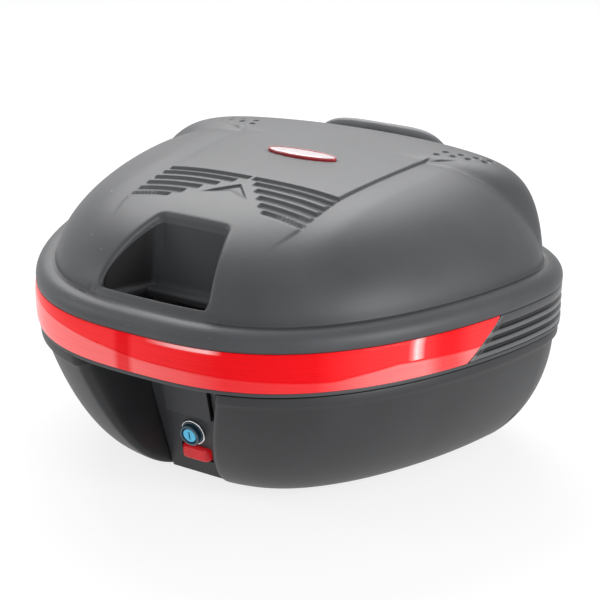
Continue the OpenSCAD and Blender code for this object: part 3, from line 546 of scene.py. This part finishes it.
def lid_skin():
    t = closed_angles(1.75 * COARSE)
    flank = smooth((GRILLE_END + 2 - np.abs(t)) / 2)
    rows = []

    def row(inset, z):
        p = edge(t, np.broadcast_to(inset, t.shape))
        rows.append(np.stack([p[:, 0], p[:, 1], np.full(len(t), z)], -1))

    lip = 0.8
    for inset, z in ((8.5, LID_Z), (2.2, LID_Z), (1.3, LID_Z + 0.25), (0.9, LID_Z + 0.8), (lip, LID_Z + 1.6),
                     (lip, LENS_Z0 - 0.9), (lip + 0.25, LENS_Z0 - 0.5)):
        row(inset, z)
    for inset, z in ((5, LENS_Z0 - 0.3), (5, LENS_Z1 + 0.2)):
        row(lip + (inset - lip) * flank, z)
    for inset, z in ((1.0, LENS_Z1 + 0.4), (0.3, LENS_Z1 + 0.9)):
        row(inset, z)
    for a in np.linspace(4, 86, 15):
        r = math.radians(a)
        row(FLANGE_W * (1 - math.cos(r) ** (2 / FLANGE_N)), BAND_Z + FLANGE_H * math.sin(r) ** (2 / FLANGE_N))
    row(FLANGE_W - 0.5, CREASE_Z - 1.2)
    grid = np.linspace(0, 1, 2000)
    share = 1 - grid
    fine = smooth((share - 0.42) / 0.02) * (1 - smooth((share - 0.665) / 0.02))
    density = 0.42 + 1.0 * fine + 0.5 * smooth((share - 0.93) / 0.05)
    way = np.concatenate([[0], np.cumsum(density[1:])])
    count = int(215 / COARSE)
    for k in 1 - 0.985 * np.interp(np.linspace(0.0004, 1, count), way / way[-1], grid):
        x, y, z = dome(t, np.full(t.shape, k))
        rows.append(np.stack([x, y, z - relief(x, y)], -1))
    points = np.concatenate(rows)
    inside = slot_distance(points[:, 0], points[:, 1]) < PATCH - 3
    inside &= points[:, 2] > CREASE_Z - 4
    points, keep = trim_to_slot(points, inside, PATCH - 3)
    faces = grid_faces(len(rows), len(t), closed=True, keep=keep)
    middle = len(points)
    points = np.concatenate([points, [[0, DOME_Y, CROWN_Z]]])
    last = (len(rows) - 1) * len(t)
    faces += [(last + c, last + (c + 1) % len(t), middle) for c in range(len(t))]
    return piece("lid_skin", points, faces, "lid", LID_PLASTIC, replaces=("lid_shell",), slot="lid_plastic")


def trim_to_slot(points, inside, gap):
    """Moves the corners that lie just inside the cut to its edge. Returns the points and a test for faces."""
    moved = points.copy()
    for _ in range(3):
        x, y = moved[inside, 0], moved[inside, 1]
        d = slot_distance(x, y) - gap
        gx = (slot_distance(x + 0.05, y) - slot_distance(x - 0.05, y)) / 0.1
        gy = (slot_distance(x, y + 0.05) - slot_distance(x, y - 0.05)) / 0.1
        moved[inside, 0] -= d * gx
        moved[inside, 1] -= d * gy
    moved[inside, 2] = lid_height(moved[inside, 0], moved[inside, 1])
    flags = inside.tolist()
    return moved, lambda quad: not all(flags[v] for v in quad)


def slot_ring(count, inset_front, inset_side, back_y, radius):
    """Closed plan curve at a chosen distance inside or outside the slot, found along rays."""
    mouth = edge(MOUTH_T, SLOT_INSET)
    middle = np.array([0.0, (mouth[1] + back_y) / 2 - 6])
    angles = np.linspace(0, 2 * math.pi, count, endpoint=False)
    way = np.stack([np.sin(angles), -np.cos(angles)], -1)
    low, high = np.zeros(count), np.full(count, 150.0)
    share = smooth((np.cos(angles) - 0.15) / 0.5)
    target = -(inset_side + (inset_front - inset_side) * share)
    for _ in range(40):
        mid = (low + high) / 2
        p = middle + way * mid[:, None]
        out = slot_distance(p[:, 0], p[:, 1], back_y, radius) > target
        high = np.where(out, mid, high)
        low = np.where(out, low, mid)
    return middle + way * low[:, None]


def handle_pocket():
    """The slot in the lid: rounded rim, leaning back wall, ledge, and the dark well below it."""
    count = 420 // COARSE
    rim = 4.5
    wall = CUP_WALL
    rings = []

    def at(ring, z):
        rings.append(np.stack([ring[:, 0], ring[:, 1], np.broadcast_to(z, len(ring))], -1))

    for out in (PATCH, 11, 9, 7.2, 5.6, 4.2, 3.0):
        ring = slot_ring(count, -out, -out, SLOT_TOP_Y, 7)
        at(ring, lid_height(ring[:, 0], ring[:, 1]) - (0.03 if out > 10 else 0))
    for a in np.linspace(0, 90, 7)[1:]:
        out = 1.9 - rim * math.sin(math.radians(a))
        ring = slot_ring(count, -out, -out, SLOT_TOP_Y, 7)
        top = lid_height(ring[:, 0], ring[:, 1])
        at(ring, top - rim * (1 - math.cos(math.radians(a))))
    top_ring = rings[-1]
    ledge_z = CREASE_Z - 1
    floor = slot_ring(count, wall, wall, SLOT_FOOT_Y, 6)
    for u in np.linspace(0, 1, 14)[1:]:
        blend = top_ring[:, :2] * (1 - u) + floor * u
        at(blend, top_ring[:, 2] * (1 - u) + np.minimum(top_ring[:, 2] - 1, ledge_z + 1.5) * u)
    lip = slot_ring(count, wall + 0.6, wall + 1.2, SLOT_FOOT_Y, 6)
    low = np.minimum(rings[-1][:, 2] - 0.6, ledge_z + 0.2)
    at(lip, low)
    shelf_side, shelf_back, shelf_h = 4.0, 12.5, 8.0
    back = smooth((floor[:, 1] - (SLOT_FOOT_Y - 26)) / 20)
    shelf = slot_ring(count, wall + 1.0, wall + shelf_side, SLOT_FOOT_Y, 5)
    shelf[:, 1] = np.minimum(shelf[:, 1], SLOT_FOOT_Y - wall - shelf_back * back)
    inner = lip * 0.12 + shelf * 0.88
    at(inner, np.minimum(low - 0.1, ledge_z))
    at(shelf, np.minimum(low - 0.8, ledge_z - 0.9))
    at(shelf, np.minimum(low - 1.6, ledge_z - shelf_h))
    under = slot_ring(count, wall, wall, SLOT_FOOT_Y, 5)
    at(under, np.minimum(low - 2, ledge_z - shelf_h - 0.4))
    at(under, LID_Z + 0.2)
    outer = slot_ring(count, 0, 0, SLOT_FOOT_Y, 7)
    foot = slot_ring(count, 6.0, -8.0, SLOT_FOOT_Y, 8)
    for ring, z in ((foot, LID_Z + 0.1), (foot, LID_Z + 2.6), (outer, LID_Z + 2.8), (outer, CREASE_Z - 12)):
        at(ring, z)
    outer_top = slot_ring(count, 0, 0, SLOT_TOP_Y, 7)
    at(outer_top, lid_height(outer_top[:, 0], outer_top[:, 1]) - 5.5)
    rings_piece("handle_rim", rings[:14], "lid", LID_PLASTIC, flip=True, slot="lid_plastic")
    return rings_piece("handle_pocket", rings[13:], "lid", POCKET_PLASTIC, flip=True,
                       replaces=("handle_cup",), slot="cup_plastic")


def lid_lining():
    """Inner faces of the lid: skirt, band and the inside of the dome."""
    t = closed_angles(6 * COARSE)
    wall = 3.0
    rows = []
    for inset, z in ((8.5, LID_Z), (8.5, BAND_Z - 1), (11, BAND_Z + 4), (15, CREASE_Z - 7)):
        p = edge(t, np.full(t.shape, inset))
        rows.append(np.stack([p[:, 0], p[:, 1], np.full(len(t), z)], -1))
    for k in np.linspace(1, 0.03, 60):
        x, y, z = dome(t, np.full(t.shape, k), FLANGE_W + wall, CREASE_Z - 2.5, DOME_H - wall - 0.5)
        rows.append(np.stack([x, y, z], -1))
    points = np.concatenate(rows)
    inside = (slot_distance(points[:, 0], points[:, 1]) < 8).tolist()
    faces = grid_faces(len(rows), len(t), closed=True, flip=True,
                       keep=lambda quad: not all(inside[v] for v in quad))
    middle = len(points)
    points = np.concatenate([points, [[0, DOME_Y, CROWN_Z - wall - 3]]])
    last = (len(rows) - 1) * len(t)
    faces += [(last + (c + 1) % len(t), last + c, middle) for c in range(len(t))]
    return piece("lid_lining", points, faces, "lid", INNER_PLASTIC, slot="lid_plastic")


def band_strip(name, section, first, last, material, node, step, **more):
    """Strip along the band. Each section row is [inset, z, inset at the ends]; first and last give the
    end angles at a height."""
    count = max(8, int(abs(arc_between(first(LENS_Z0), last(LENS_Z0))) / step))
    share = np.linspace(0, 1, count)
    rows = []
    for inset, z, straight in section:
        t = first(z) + (last(z) - first(z)) * share
        border = np.minimum(share, 1 - share) * count < 2.2
        p = edge(t, np.where(border, straight, inset))
        rows.append(np.stack([p[:, 0], p[:, 1], np.full(count, z)], -1))
    points = np.concatenate(rows)
    faces = grid_faces(len(rows), count, wrap_rows=True, **more)
    for column in (0, count - 1):
        cap = [r * count + column for r in range(len(rows))]
        faces.append(tuple(cap if column == 0 else cap[::-1]))
    return piece(name, points, faces, "lid", material, replaces=(node,))


def arc_between(a, b):
    dense = edge(np.linspace(a, b, 400), np.zeros(400))
    return np.linalg.norm(np.diff(dense, axis=0), axis=1).sum()


def lens_angle(z):
    return LENS_END[0] + (LENS_END[1] - LENS_END[0]) * (z - LENS_Z0) / (LENS_Z1 - LENS_Z0)


def reflector():
    section = [(1.7, LENS_Z0, 1.7), (0.0, LENS_Z0, 0.0)]
    levels = 44 // COARSE
    for i in range(levels + 1):
        v = i / levels
        bulge = (1 - abs(2 * v - 1) ** 3.2) ** 0.8
        ridge = 0.10 * math.cos(2 * math.pi * v * 11) * min(1, 6 * min(v, 1 - v))
        inset = 0.0 - 1.38 * bulge - ridge * 0.8
        section.append((inset, LENS_Z0 + 0.15 + (LENS_Z1 - LENS_Z0 - 0.3) * v, inset + 0.35))
    section += [(0.0, LENS_Z1, 0.0), (1.7, LENS_Z1, 1.7)]
    return band_strip("reflector", section, lambda z: -lens_angle(z), lens_angle,
                      LENS_RED, "reflector_lens", 2.2)


def grille(side):
    pitch = (LENS_Z1 - LENS_Z0) / GRILLE_RIDGES
    section = [(4.8, LENS_Z0, 4.8)]
    for i in range(GRILLE_RIDGES):
        z = LENS_Z0 + i * pitch
        top = z + (pitch if i == GRILLE_RIDGES - 1 else pitch / 2)
        section += [(1.4, z + 0.15, 0.6), (0.75, z + 0.5, 0.5), (0.4, z + 1.3, 0.4),
                    (0.4, top - 1.5, 0.4), (0.7, top - 0.7, 0.5), (1.5, top - 0.1, 0.6)]
        if i < GRILLE_RIDGES - 1:
            section += [(4.2, top + 0.3, 0.6), (4.2, z + pitch - 0.3, 0.6)]
    section += [(4.8, LENS_Z1, 4.8)]
    sign = 1 if side == "right" else -1
    return band_strip("grille_" + side, section, lambda z: sign * (lens_angle(z) + 0.5),
                      lambda z: sign * GRILLE_END, GRILLE_PLASTIC, "side_grille_" + side, 3.0,
                      flip=side == "left")


# ---- tub ----
SHOULDER_Z = 62
FOOT_FRONT, FOOT_SIDE = 140, 98      # insets of the foot of the wall
UNDER_N = 2.15
RIM_IN, RIM_BAND, LIP_IN = 7, 11, 2.5
TUB_WALL = 3.2
BAY_BACK, BAY_MOUTH = (55, 38), (84, 47)
FLOOR_Z, RECESS_Z = 15.4, 12.0


def panel_y(z):
    return BAY_Y0 + (TUB_H - z) * math.tan(PANEL_LEAN)


def wall_inset(t, z):
    """Inset of the outer wall: full at the back and the sides, slimmer towards the front."""
    f = (1 + np.cos(np.radians(t))) / 2
    foot = FOOT_SIDE + (FOOT_FRONT - FOOT_SIDE) * f
    lean = np.clip(f, 0.2, 0.75) - 0.3
    s = np.clip((TUB_H - RIM_BAND - z) / (TUB_H - RIM_BAND), 0, 1)
    share = 1 - np.maximum(0, 1 - s ** (2 - 2.0 * lean)) ** (1 / (2 + 1.7 * lean))
    return RIM_IN + (foot - RIM_IN) * share


BAY_SIDE = 14                        # samples on each side wall of the lock bay
BAY_BACK_COUNT = 10                  # samples on half of its back wall
SHELL_ANGLES = even_angles(14, 180, 2.6 * COARSE)


def tub_columns(z):
    """Angles of one ring of the tub: the back wall of the lock bay, its side walls, then the shell."""
    u = (TUB_H - z) / TUB_H
    inner = math.degrees(math.asin((BAY_BACK[0] + (BAY_BACK[1] - BAY_BACK[0]) * u) / HALF_W))
    outer = math.degrees(math.asin((BAY_MOUTH[0] + (BAY_MOUTH[1] - BAY_MOUTH[0]) * u) / HALF_W))
    shell = outer + (SHELL_ANGLES - SHELL_ANGLES[0]) * (180 - outer) / (180 - SHELL_ANGLES[0])
    half = np.concatenate([np.linspace(0, inner, BAY_BACK_COUNT), np.full(BAY_SIDE, np.nan), shell])
    return half, inner, outer


def tub_ring(z, inset_of, grow=0.0, level=None):
    half, inner, outer = tub_columns(z)
    y0 = panel_y(z) + PANEL_GAP + grow
    walls = np.isnan(half)
    safe = np.where(walls, outer, half)
    p = edge(safe, inset_of(safe))
    back = np.arange(len(half)) < BAY_BACK_COUNT
    p[back, 1] = np.maximum(p[back, 1], y0)
    corner_in, corner_out = p[BAY_BACK_COUNT - 1].copy(), p[BAY_BACK_COUNT + BAY_SIDE].copy()
    u = (np.arange(BAY_SIDE) + 1)[:, None] / (BAY_SIDE + 1)
    p[walls] = corner_in * (1 - u) + corner_out * u
    for _ in range(5):                   # rounds the corners of the bay
        p[4:40] = (p[3:39] + 2 * p[4:40] + p[5:41]) / 4
    full = np.concatenate([p[:0:-1] * [-1, 1], p[:-1]])
    return np.concatenate([full, np.full((len(full), 1), z if level is None else level)], axis=1)


def tub():
    rings = []
    foot = tub_ring(0, lambda t: wall_inset(t, 0))
    middle = foot.mean(0)

    def scaled(ring, k, z):
        moved = middle + (ring - middle) * k
        moved[:, 2] = z
        return moved

    for k, z in ((0.88, RECESS_Z), (0.89, 1.2), (0.9, 0), (0.95, 0)):
        rings.append(scaled(foot, k, z))
    for a in np.linspace(0, 90, 26 // COARSE):
        z = SHOULDER_Z * (1 - math.cos(math.radians(a)) ** (2 / UNDER_N))
        rings.append(tub_ring(z, lambda t, z=z: wall_inset(t, z)))
    for z in np.linspace(SHOULDER_Z, TUB_H - RIM_BAND, 14)[1:]:
        rings.append(tub_ring(z, lambda t, z=z: wall_inset(t, z)))
    for z, inset in ((-10.8, 6.6), (-10.3, 4.6), (-9.9, 3.2), (-9.2, 2.6), (-8, LIP_IN), (-1.2, LIP_IN),
                     (-0.3, 2.9), (0, 3.8), (0, 8.0)):
        rings.append(tub_ring(TUB_H + z, lambda t, i=inset: np.full(t.shape, float(i))))
    inner = RIM_IN + TUB_WALL
    rings.append(tub_ring(TUB_H, lambda t: np.full(t.shape, float(inner)), TUB_WALL))
    for z in (TUB_H - RIM_BAND, 110, 90, 75, SHOULDER_Z, 50, 38, 30, 24, FLOOR_Z + 2):
        rings.append(tub_ring(z, lambda t, z=z: wall_inset(t, z) + TUB_WALL, TUB_WALL))
    rings.append(scaled(rings[-1], 0.95, FLOOR_Z))
    return rings_piece("tub_skin", rings, "base", SHADED_TUB_PLASTIC, caps=(True, True),
                       replaces=("lower_shell",), slot="tub_plastic")


# ---- rounded pieces on the lock panel ----
def on_panel(points):
    """From panel axes (x, up along the panel, outwards) to the row frame."""
    p = np.asarray(points, float)
    c, s = math.cos(PANEL_LEAN), math.sin(PANEL_LEAN)
    y = panel_y(LOCK_Z) - p[:, 1] * s - p[:, 2] * c
    z = LOCK_Z + p[:, 1] * c - p[:, 2] * s
    return np.stack([p[:, 0], y, z], -1)


def lathe(name, profile, body, material, n=96, **more):
    """Turned piece round the lock axis, from [radius, outwards] pairs."""
    a = np.linspace(0, 2 * math.pi, n, endpoint=False)
    rings = [on_panel(np.stack([r * np.cos(a), r * np.sin(a), np.full(n, h)], -1)) for r, h in profile]
    return rings_piece(name, rings, body, material, **more)


def rounded_box(size, radius, cuts=10):
    """Points and faces of a box with rounded edges, centred on the origin."""
    half = np.array(size) / 2
    ticks = []
    for h in half:
        corners = (-h, -h + radius, h - radius, h)
        ticks.append(np.unique(np.concatenate([np.linspace(a, b, cuts) for a, b in zip(corners, corners[1:])])))
    points, faces = [], []
    for axis in range(3):
        u, v = [i for i in range(3) if i != axis]
        for sign in (-1, 1):
            first = len(points)
            for a in ticks[u]:
                for b in ticks[v]:
                    p = np.zeros(3)
                    p[axis], p[u], p[v] = sign * half[axis], a, b
                    core = np.clip(p, -half + radius, half - radius)
                    away = p - core
                    points.append(core + away / max(1e-9, np.linalg.norm(away)) * radius)
            turn = (sign > 0) == (axis == 1)
            faces += grid_faces(len(ticks[u]), len(ticks[v]), flip=not turn, first=first)
    return np.array(points), faces


def merge(obj, distance=0.00002):
    work = bmesh.new()
    work.from_mesh(obj.data)
    bmesh.ops.remove_doubles(work, verts=work.verts, dist=distance)
    bmesh.ops.recalc_face_normals(work, faces=work.faces)
    work.to_mesh(obj.data)
    work.free()


def lock_front():
    out = 9.0
    sleeve = [(11.9, -14), (12, -13), (12, out - 1.6), (11.8, out - 0.7), (11.3, out - 0.15), (10.6, out),
              (9.2, out), (8.9, out - 0.2), (8.8, out - 1.2), (8.8, out - 3)]
    lathe("lock_sleeve_skin", sleeve, "base", SLEEVE_BLUE, replaces=("lock_sleeve",), slot="black_plastic")
    ring = [(12.1, 0.0), (14.5, 0.05), (14.6, 0.4), (14.5, 1.5), (14.1, 2.3), (13.5, 2.7), (12.9, 2.6),
            (12.2, 2.1)]
    lathe("lock_ring", ring, "base", CHROME, replaces=("lock_bezel",), slot="chrome_ring")
    a = np.linspace(0, 2 * math.pi, 144, endpoint=False)
    rings = []
    for r in np.concatenate([np.linspace(0.15, 7.0, 34), [7.25, 7.38, 7.4]]):
        x, v = r * np.cos(a), r * np.sin(a)
        slot_depth = 2.4 * (1 - smooth((np.abs(x) - 0.75) / 0.35)) * (1 - smooth((np.abs(v) - 4.5) / 0.4))
        h = out - 0.35 - 0.35 * (r / 7.4) ** 4 - (1.0 if r > 7.39 else 0) - slot_depth
        rings.append(on_panel(np.stack([x, v, h], -1)))
    rings_piece("key_dial", rings, "key", FACE_BLUE, caps=(True, False), flip=True,
                replaces=("key_face",), slot="blue_face")


def push_button():
    low, high = box_mm("release_button")
    width, height = high[0] - low[0], 15.0
    front = low[1]
    deep = 12.0
    middle_z = LOCK_Z - 25 * math.cos(PANEL_LEAN)
    points, faces = rounded_box((width - 0.2, deep, height), 5.2, 10)
    x = points[:, 0]
    turned = np.maximum(0, np.abs(x) - 9) ** 2 / (width / 2 - 9) ** 2
    near = (deep / 2 - points[:, 1]) / deep
    points[:, 1] += turned * 5.2 * near
    face = smooth((near - 0.9) / 0.08) * (1 - smooth((np.abs(x) - 11.5) / 1.5))
    face *= 1 - smooth((np.abs(points[:, 2]) - 4.0) / 1.0)
    points[:, 1] += 0.7 * face
    points += [0, front + deep / 2, middle_z]
    obj = piece("push_button", points, faces, "release", BUTTON_RED,
                replaces=("release_button",), slot="red_button")
    merge(obj)
    stem, stem_faces = rounded_box((20, high[1] - front - 9, 5), 0.6, 4)
    stem += [0, (front + 9 + high[1]) / 2, middle_z]
    stem_piece = piece("button_stem", stem, stem_faces, "release", BUTTON_RED, slot="red_button")
    merge(stem_piece)


def hasp():
    """The flap over the notch of the lock panel, and the arm that joins it to the lid."""
    low, high = box_mm("lid_hasp")
    width = high[0] - low[0]
    notch = (low[2] - LOCK_Z) / math.cos(PANEL_LEAN) - 2.3
    top = (high[2] - LOCK_Z) / math.cos(PANEL_LEAN) - 1.2
    thick = 4.3
    points, faces = rounded_box((width + 3.6, top - notch - 1.0, thick), 0.8, 30)
    points += [0, (top + notch + 1.0) / 2, thick / 2 + 0.05]
    room = (np.abs(points[:, 0]) < 13.2) & (np.abs(points[:, 1] - 30) < 7.6) & (points[:, 2] < 0.1)
    points[room, 2] = 3.4                    # room for the latch bolt behind the flap
    plate = piece("hasp_plate", on_panel(points), faces, "lid", PANEL_PLASTIC,
                  replaces=("lid_hasp",), slot="panel_plastic")
    merge(plate)
    near, far = panel_y(LID_Z + 2) - 1, high[1]
    points, faces = rounded_box((width - 0.4, far - near, high[2] - LID_Z - 2), 1.0, 5)
    points += [0, (near + far) / 2, (LID_Z + 2 + high[2]) / 2]
    arm = piece("hasp_arm", points, faces, "lid", PANEL_PLASTIC, slot="panel_plastic")
    merge(arm)


# ---- badge and backrest ----
def oval_rings(profile, a, b, y, n=120):
    angle = np.linspace(0, 2 * math.pi, n, endpoint=False)
    return [np.stack([(a + d) * s * np.cos(angle), y + (b + d) * s * np.sin(angle), np.full(n, z)], -1)
            for s, d, z in profile]


def badge():
    z = BEZEL_LOW[2]
    top = BEZEL_HIGH[2] - 1.5
    ring = [(1, -0.2, z - 0.8), (1, 0, z + 0.6), (1, -0.05, top - 1.0), (1, -0.4, top - 0.35),
            (1, -0.9, top - 0.1), (1, -1.4, top - 0.3), (1, -1.7, top - 1.2), (1, -1.7, top - 2)]
    rings_piece("badge_ring", oval_rings(ring, BADGE_A, BADGE_B, BADGE_Y), "lid", BADGE_RED,
                replaces=("badge_bezel",), slot="badge_red")
    profile = [(1, -1.8, top - 1.8), (1, -1.8, top - 0.9), (1, -2.1, top - 0.65)]
    profile += [(s, -2.2, top - 0.6 + 0.6 * (1 - s * s)) for s in np.linspace(0.97, 0.04, 16)]
    rings_piece("badge_face", oval_rings(profile, BADGE_A, BADGE_B, BADGE_Y), "lid", BADGE_SILVER,
                caps=(False, True), replaces=("badge_plate",), slot="badge_silver")


PAD_CHANNELS = (-0.26, 0.02, 0.27)   # heights of the sewn channels, as shares of the pad's height


def backrest():
    """Moulded foam pad: crowned face, pulled-in rim, a seam down the middle and sewn channels."""
    low, high = box_mm("backrest_pad")
    wide, tall, thick = high[0] - low[0] + 16, high[2] - low[2] - 9.5, high[1] - low[1]
    n = 240
    a = np.linspace(0, 2 * math.pi, n, endpoint=False)
    power = 5.0
    c, s = np.cos(a), np.sin(a)
    ux = np.sign(c) * np.abs(c) ** (2 / power)
    uz = np.sign(s) * np.abs(s) ** (2 / power)
    rings = []
    for face in (-1, 1):
        shares = np.linspace(0.02, 1, 40) ** 0.75
        for q in (shares if face < 0 else shares[::-1]):
            x = ux * q * (wide / 2 - 24 * smooth((uz * q - 0.1) / 1.2) - 14 * smooth((0.1 - uz * q) / 1.1))
            z = uz * q * tall / 2
            bulge = (1 - q ** 7) ** 0.45
            seam = 1.6 * np.exp(-(x / 2.2) ** 2) * (1 - q ** 9)
            channel = 1.1 * (1 - q ** 9) * sum(np.exp(-((z - h * tall) / 2.4) ** 2) for h in PAD_CHANNELS)
            reach = (thick / 2 - 0.1) * bulge - (seam + channel * (1 if face > 0 else 0.25)) * bulge
            rings.append(np.stack([x, np.maximum(0, reach) * face, z], -1))
    rings = [ring + [0, (low[1] + high[1]) / 2, low[2] + tall / 2] for ring in rings]
    pad = rings_piece("backrest_cushion", rings, "lid", PAD_SKIN, caps=(True, True),
                      replaces=("backrest_pad",), slot="pad_foam")
    merge(pad)


# ---- finishes of the CAD nodes that stay ----
def finish_nodes():
    finishes = (
        (SEAL_RUBBER, "rim_seal"), (PANEL_PLASTIC, "lock_panel"), (BARREL, "key_barrel"),
        (BLACK_PLASTIC, "lock_housing lens_carrier hinge_base_left hinge_base_right hinge_leaf_left hinge_leaf_right"),
        (SCREW_ZINC, "panel_screws floor_screws hinge_base_screws backrest_screws hasp_screws hinge_leaf_screws"),
        (ZINC, "floor_frame front_claws strike latch_bolt plate_catch"), (BRIGHT, "hinge_pins release_spring"))
    finishes = {name: material for material, names in finishes for name in names.split()}
    for name, material in finishes.items():
        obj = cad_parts[name]
        for index in range(max(1, len(obj.material_slots))):
            if index < len(obj.material_slots):
                obj.material_slots[index].material = material
            else:
                obj.data.materials.append(material)


# ---- stage ----
def camera():
    data = bpy.data.cameras.new("camera")
    data.lens = 103.9
    data.sensor_width = 36
    data.clip_end = 50
    obj = bpy.data.objects.new("camera", data)
    bpy.context.scene.collection.objects.link(obj)
    turn, rise, away = math.radians(33), math.radians(20.5), 1.778
    target = Vector((0.0443, -0.0245, 0.1641))
    back = Vector((math.sin(turn) * math.cos(rise), -math.cos(turn) * math.cos(rise), math.sin(rise)))
    obj.location = target + back * away
    obj.rotation_euler = (-back).to_track_quat("-Z", "Y").to_euler()
    bpy.context.scene.camera = obj


def soft_box(name, place, target, size, power, colour=(1, 1, 1)):
    data = bpy.data.lights.new(name, "AREA")
    data.shape = "RECTANGLE"
    data.size, data.size_y = size
    data.energy = power
    data.color = colour
    obj = bpy.data.objects.new(name, data)
    bpy.context.scene.collection.objects.link(obj)
    obj.location = place
    obj.rotation_euler = (Vector(target) - Vector(place)).to_track_quat("-Z", "Y").to_euler()


def shown_rays(tree):
    """1 for camera, glossy and transmission rays, 0 for the others."""
    path = tree.nodes.new("ShaderNodeLightPath")
    first = tree.nodes.new("ShaderNodeMath")
    first.operation = "MAXIMUM"
    second = tree.nodes.new("ShaderNodeMath")
    second.operation = "MAXIMUM"
    tree.links.new(path.outputs["Is Camera Ray"], first.inputs[0])
    tree.links.new(path.outputs["Is Glossy Ray"], first.inputs[1])
    tree.links.new(first.outputs[0], second.inputs[0])
    tree.links.new(path.outputs["Is Transmission Ray"], second.inputs[1])
    return second.outputs[0]


def studio():
    world = bpy.data.worlds.new("studio")
    bpy.context.scene.world = world
    world.use_nodes = True
    tree = world.node_tree
    tree.nodes.clear()
    plain = tree.nodes.new("ShaderNodeBackground")
    plain.inputs["Color"].default_value = (0.93, 0.95, 1.0, 1)
    plain.inputs["Strength"].default_value = 0.55
    seen = tree.nodes.new("ShaderNodeBackground")
    seen.inputs["Color"].default_value = (1, 1, 1, 1)
    seen.inputs["Strength"].default_value = 1.0
    mixed = tree.nodes.new("ShaderNodeMixShader")
    tree.links.new(shown_rays(tree), mixed.inputs["Fac"])
    tree.links.new(plain.outputs[0], mixed.inputs[1])
    tree.links.new(seen.outputs[0], mixed.inputs[2])
    tree.links.new(mixed.outputs[0], tree.nodes.new("ShaderNodeOutputWorld").inputs["Surface"])

    floor_size = 12.0
    mesh = bpy.data.meshes.new("floor")
    corners = [(-floor_size, -floor_size, 0), (floor_size, -floor_size, 0), (floor_size, floor_size, 0),
               (-floor_size, floor_size, 0)]
    mesh.from_pydata(corners, [], [(0, 1, 2, 3)])
    floor = bpy.data.objects.new("floor", mesh)
    bpy.context.scene.collection.objects.link(floor)
    paper = bpy.data.materials.new("floor_paper")
    paper.use_nodes = True
    tree = paper.node_tree
    tree.nodes.clear()
    matt = tree.nodes.new("ShaderNodeBsdfDiffuse")
    matt.inputs["Color"].default_value = (0.95, 0.95, 0.95, 1)
    glow = tree.nodes.new("ShaderNodeEmission")
    glow.inputs["Color"].default_value = (1, 1, 1, 1)
    glow.inputs["Strength"].default_value = 1.07
    mixed = tree.nodes.new("ShaderNodeMixShader")
    share = tree.nodes.new("ShaderNodeMath")
    share.operation = "MULTIPLY"
    share.inputs[1].default_value = 0.74
    tree.links.new(shown_rays(tree), share.inputs[0])
    tree.links.new(share.outputs[0], mixed.inputs["Fac"])
    tree.links.new(matt.outputs[0], mixed.inputs[1])
    tree.links.new(glow.outputs[0], mixed.inputs[2])
    tree.links.new(mixed.outputs[0], tree.nodes.new("ShaderNodeOutputMaterial").inputs["Surface"])
    mesh.materials.append(paper)

    middle = (0, 0, 0.15)
    soft_box("key", (-1.0, 1.1, 1.7), middle, (1.8, 1.2), 40)
    soft_box("right", (2.0, -0.3, 0.8), middle, (0.6, 1.2), 21)
    soft_box("left", (-1.9, -1.2, 1.0), middle, (0.6, 1.2), 8)


camera()
lid_skin()
handle_pocket()
lid_lining()
reflector()
grille("left")
grille("right")
tub()
lock_front()
push_button()
hasp()
badge()
backrest()
finish_nodes()
studio()

bpy.context.scene.view_settings.view_transform = "Standard"
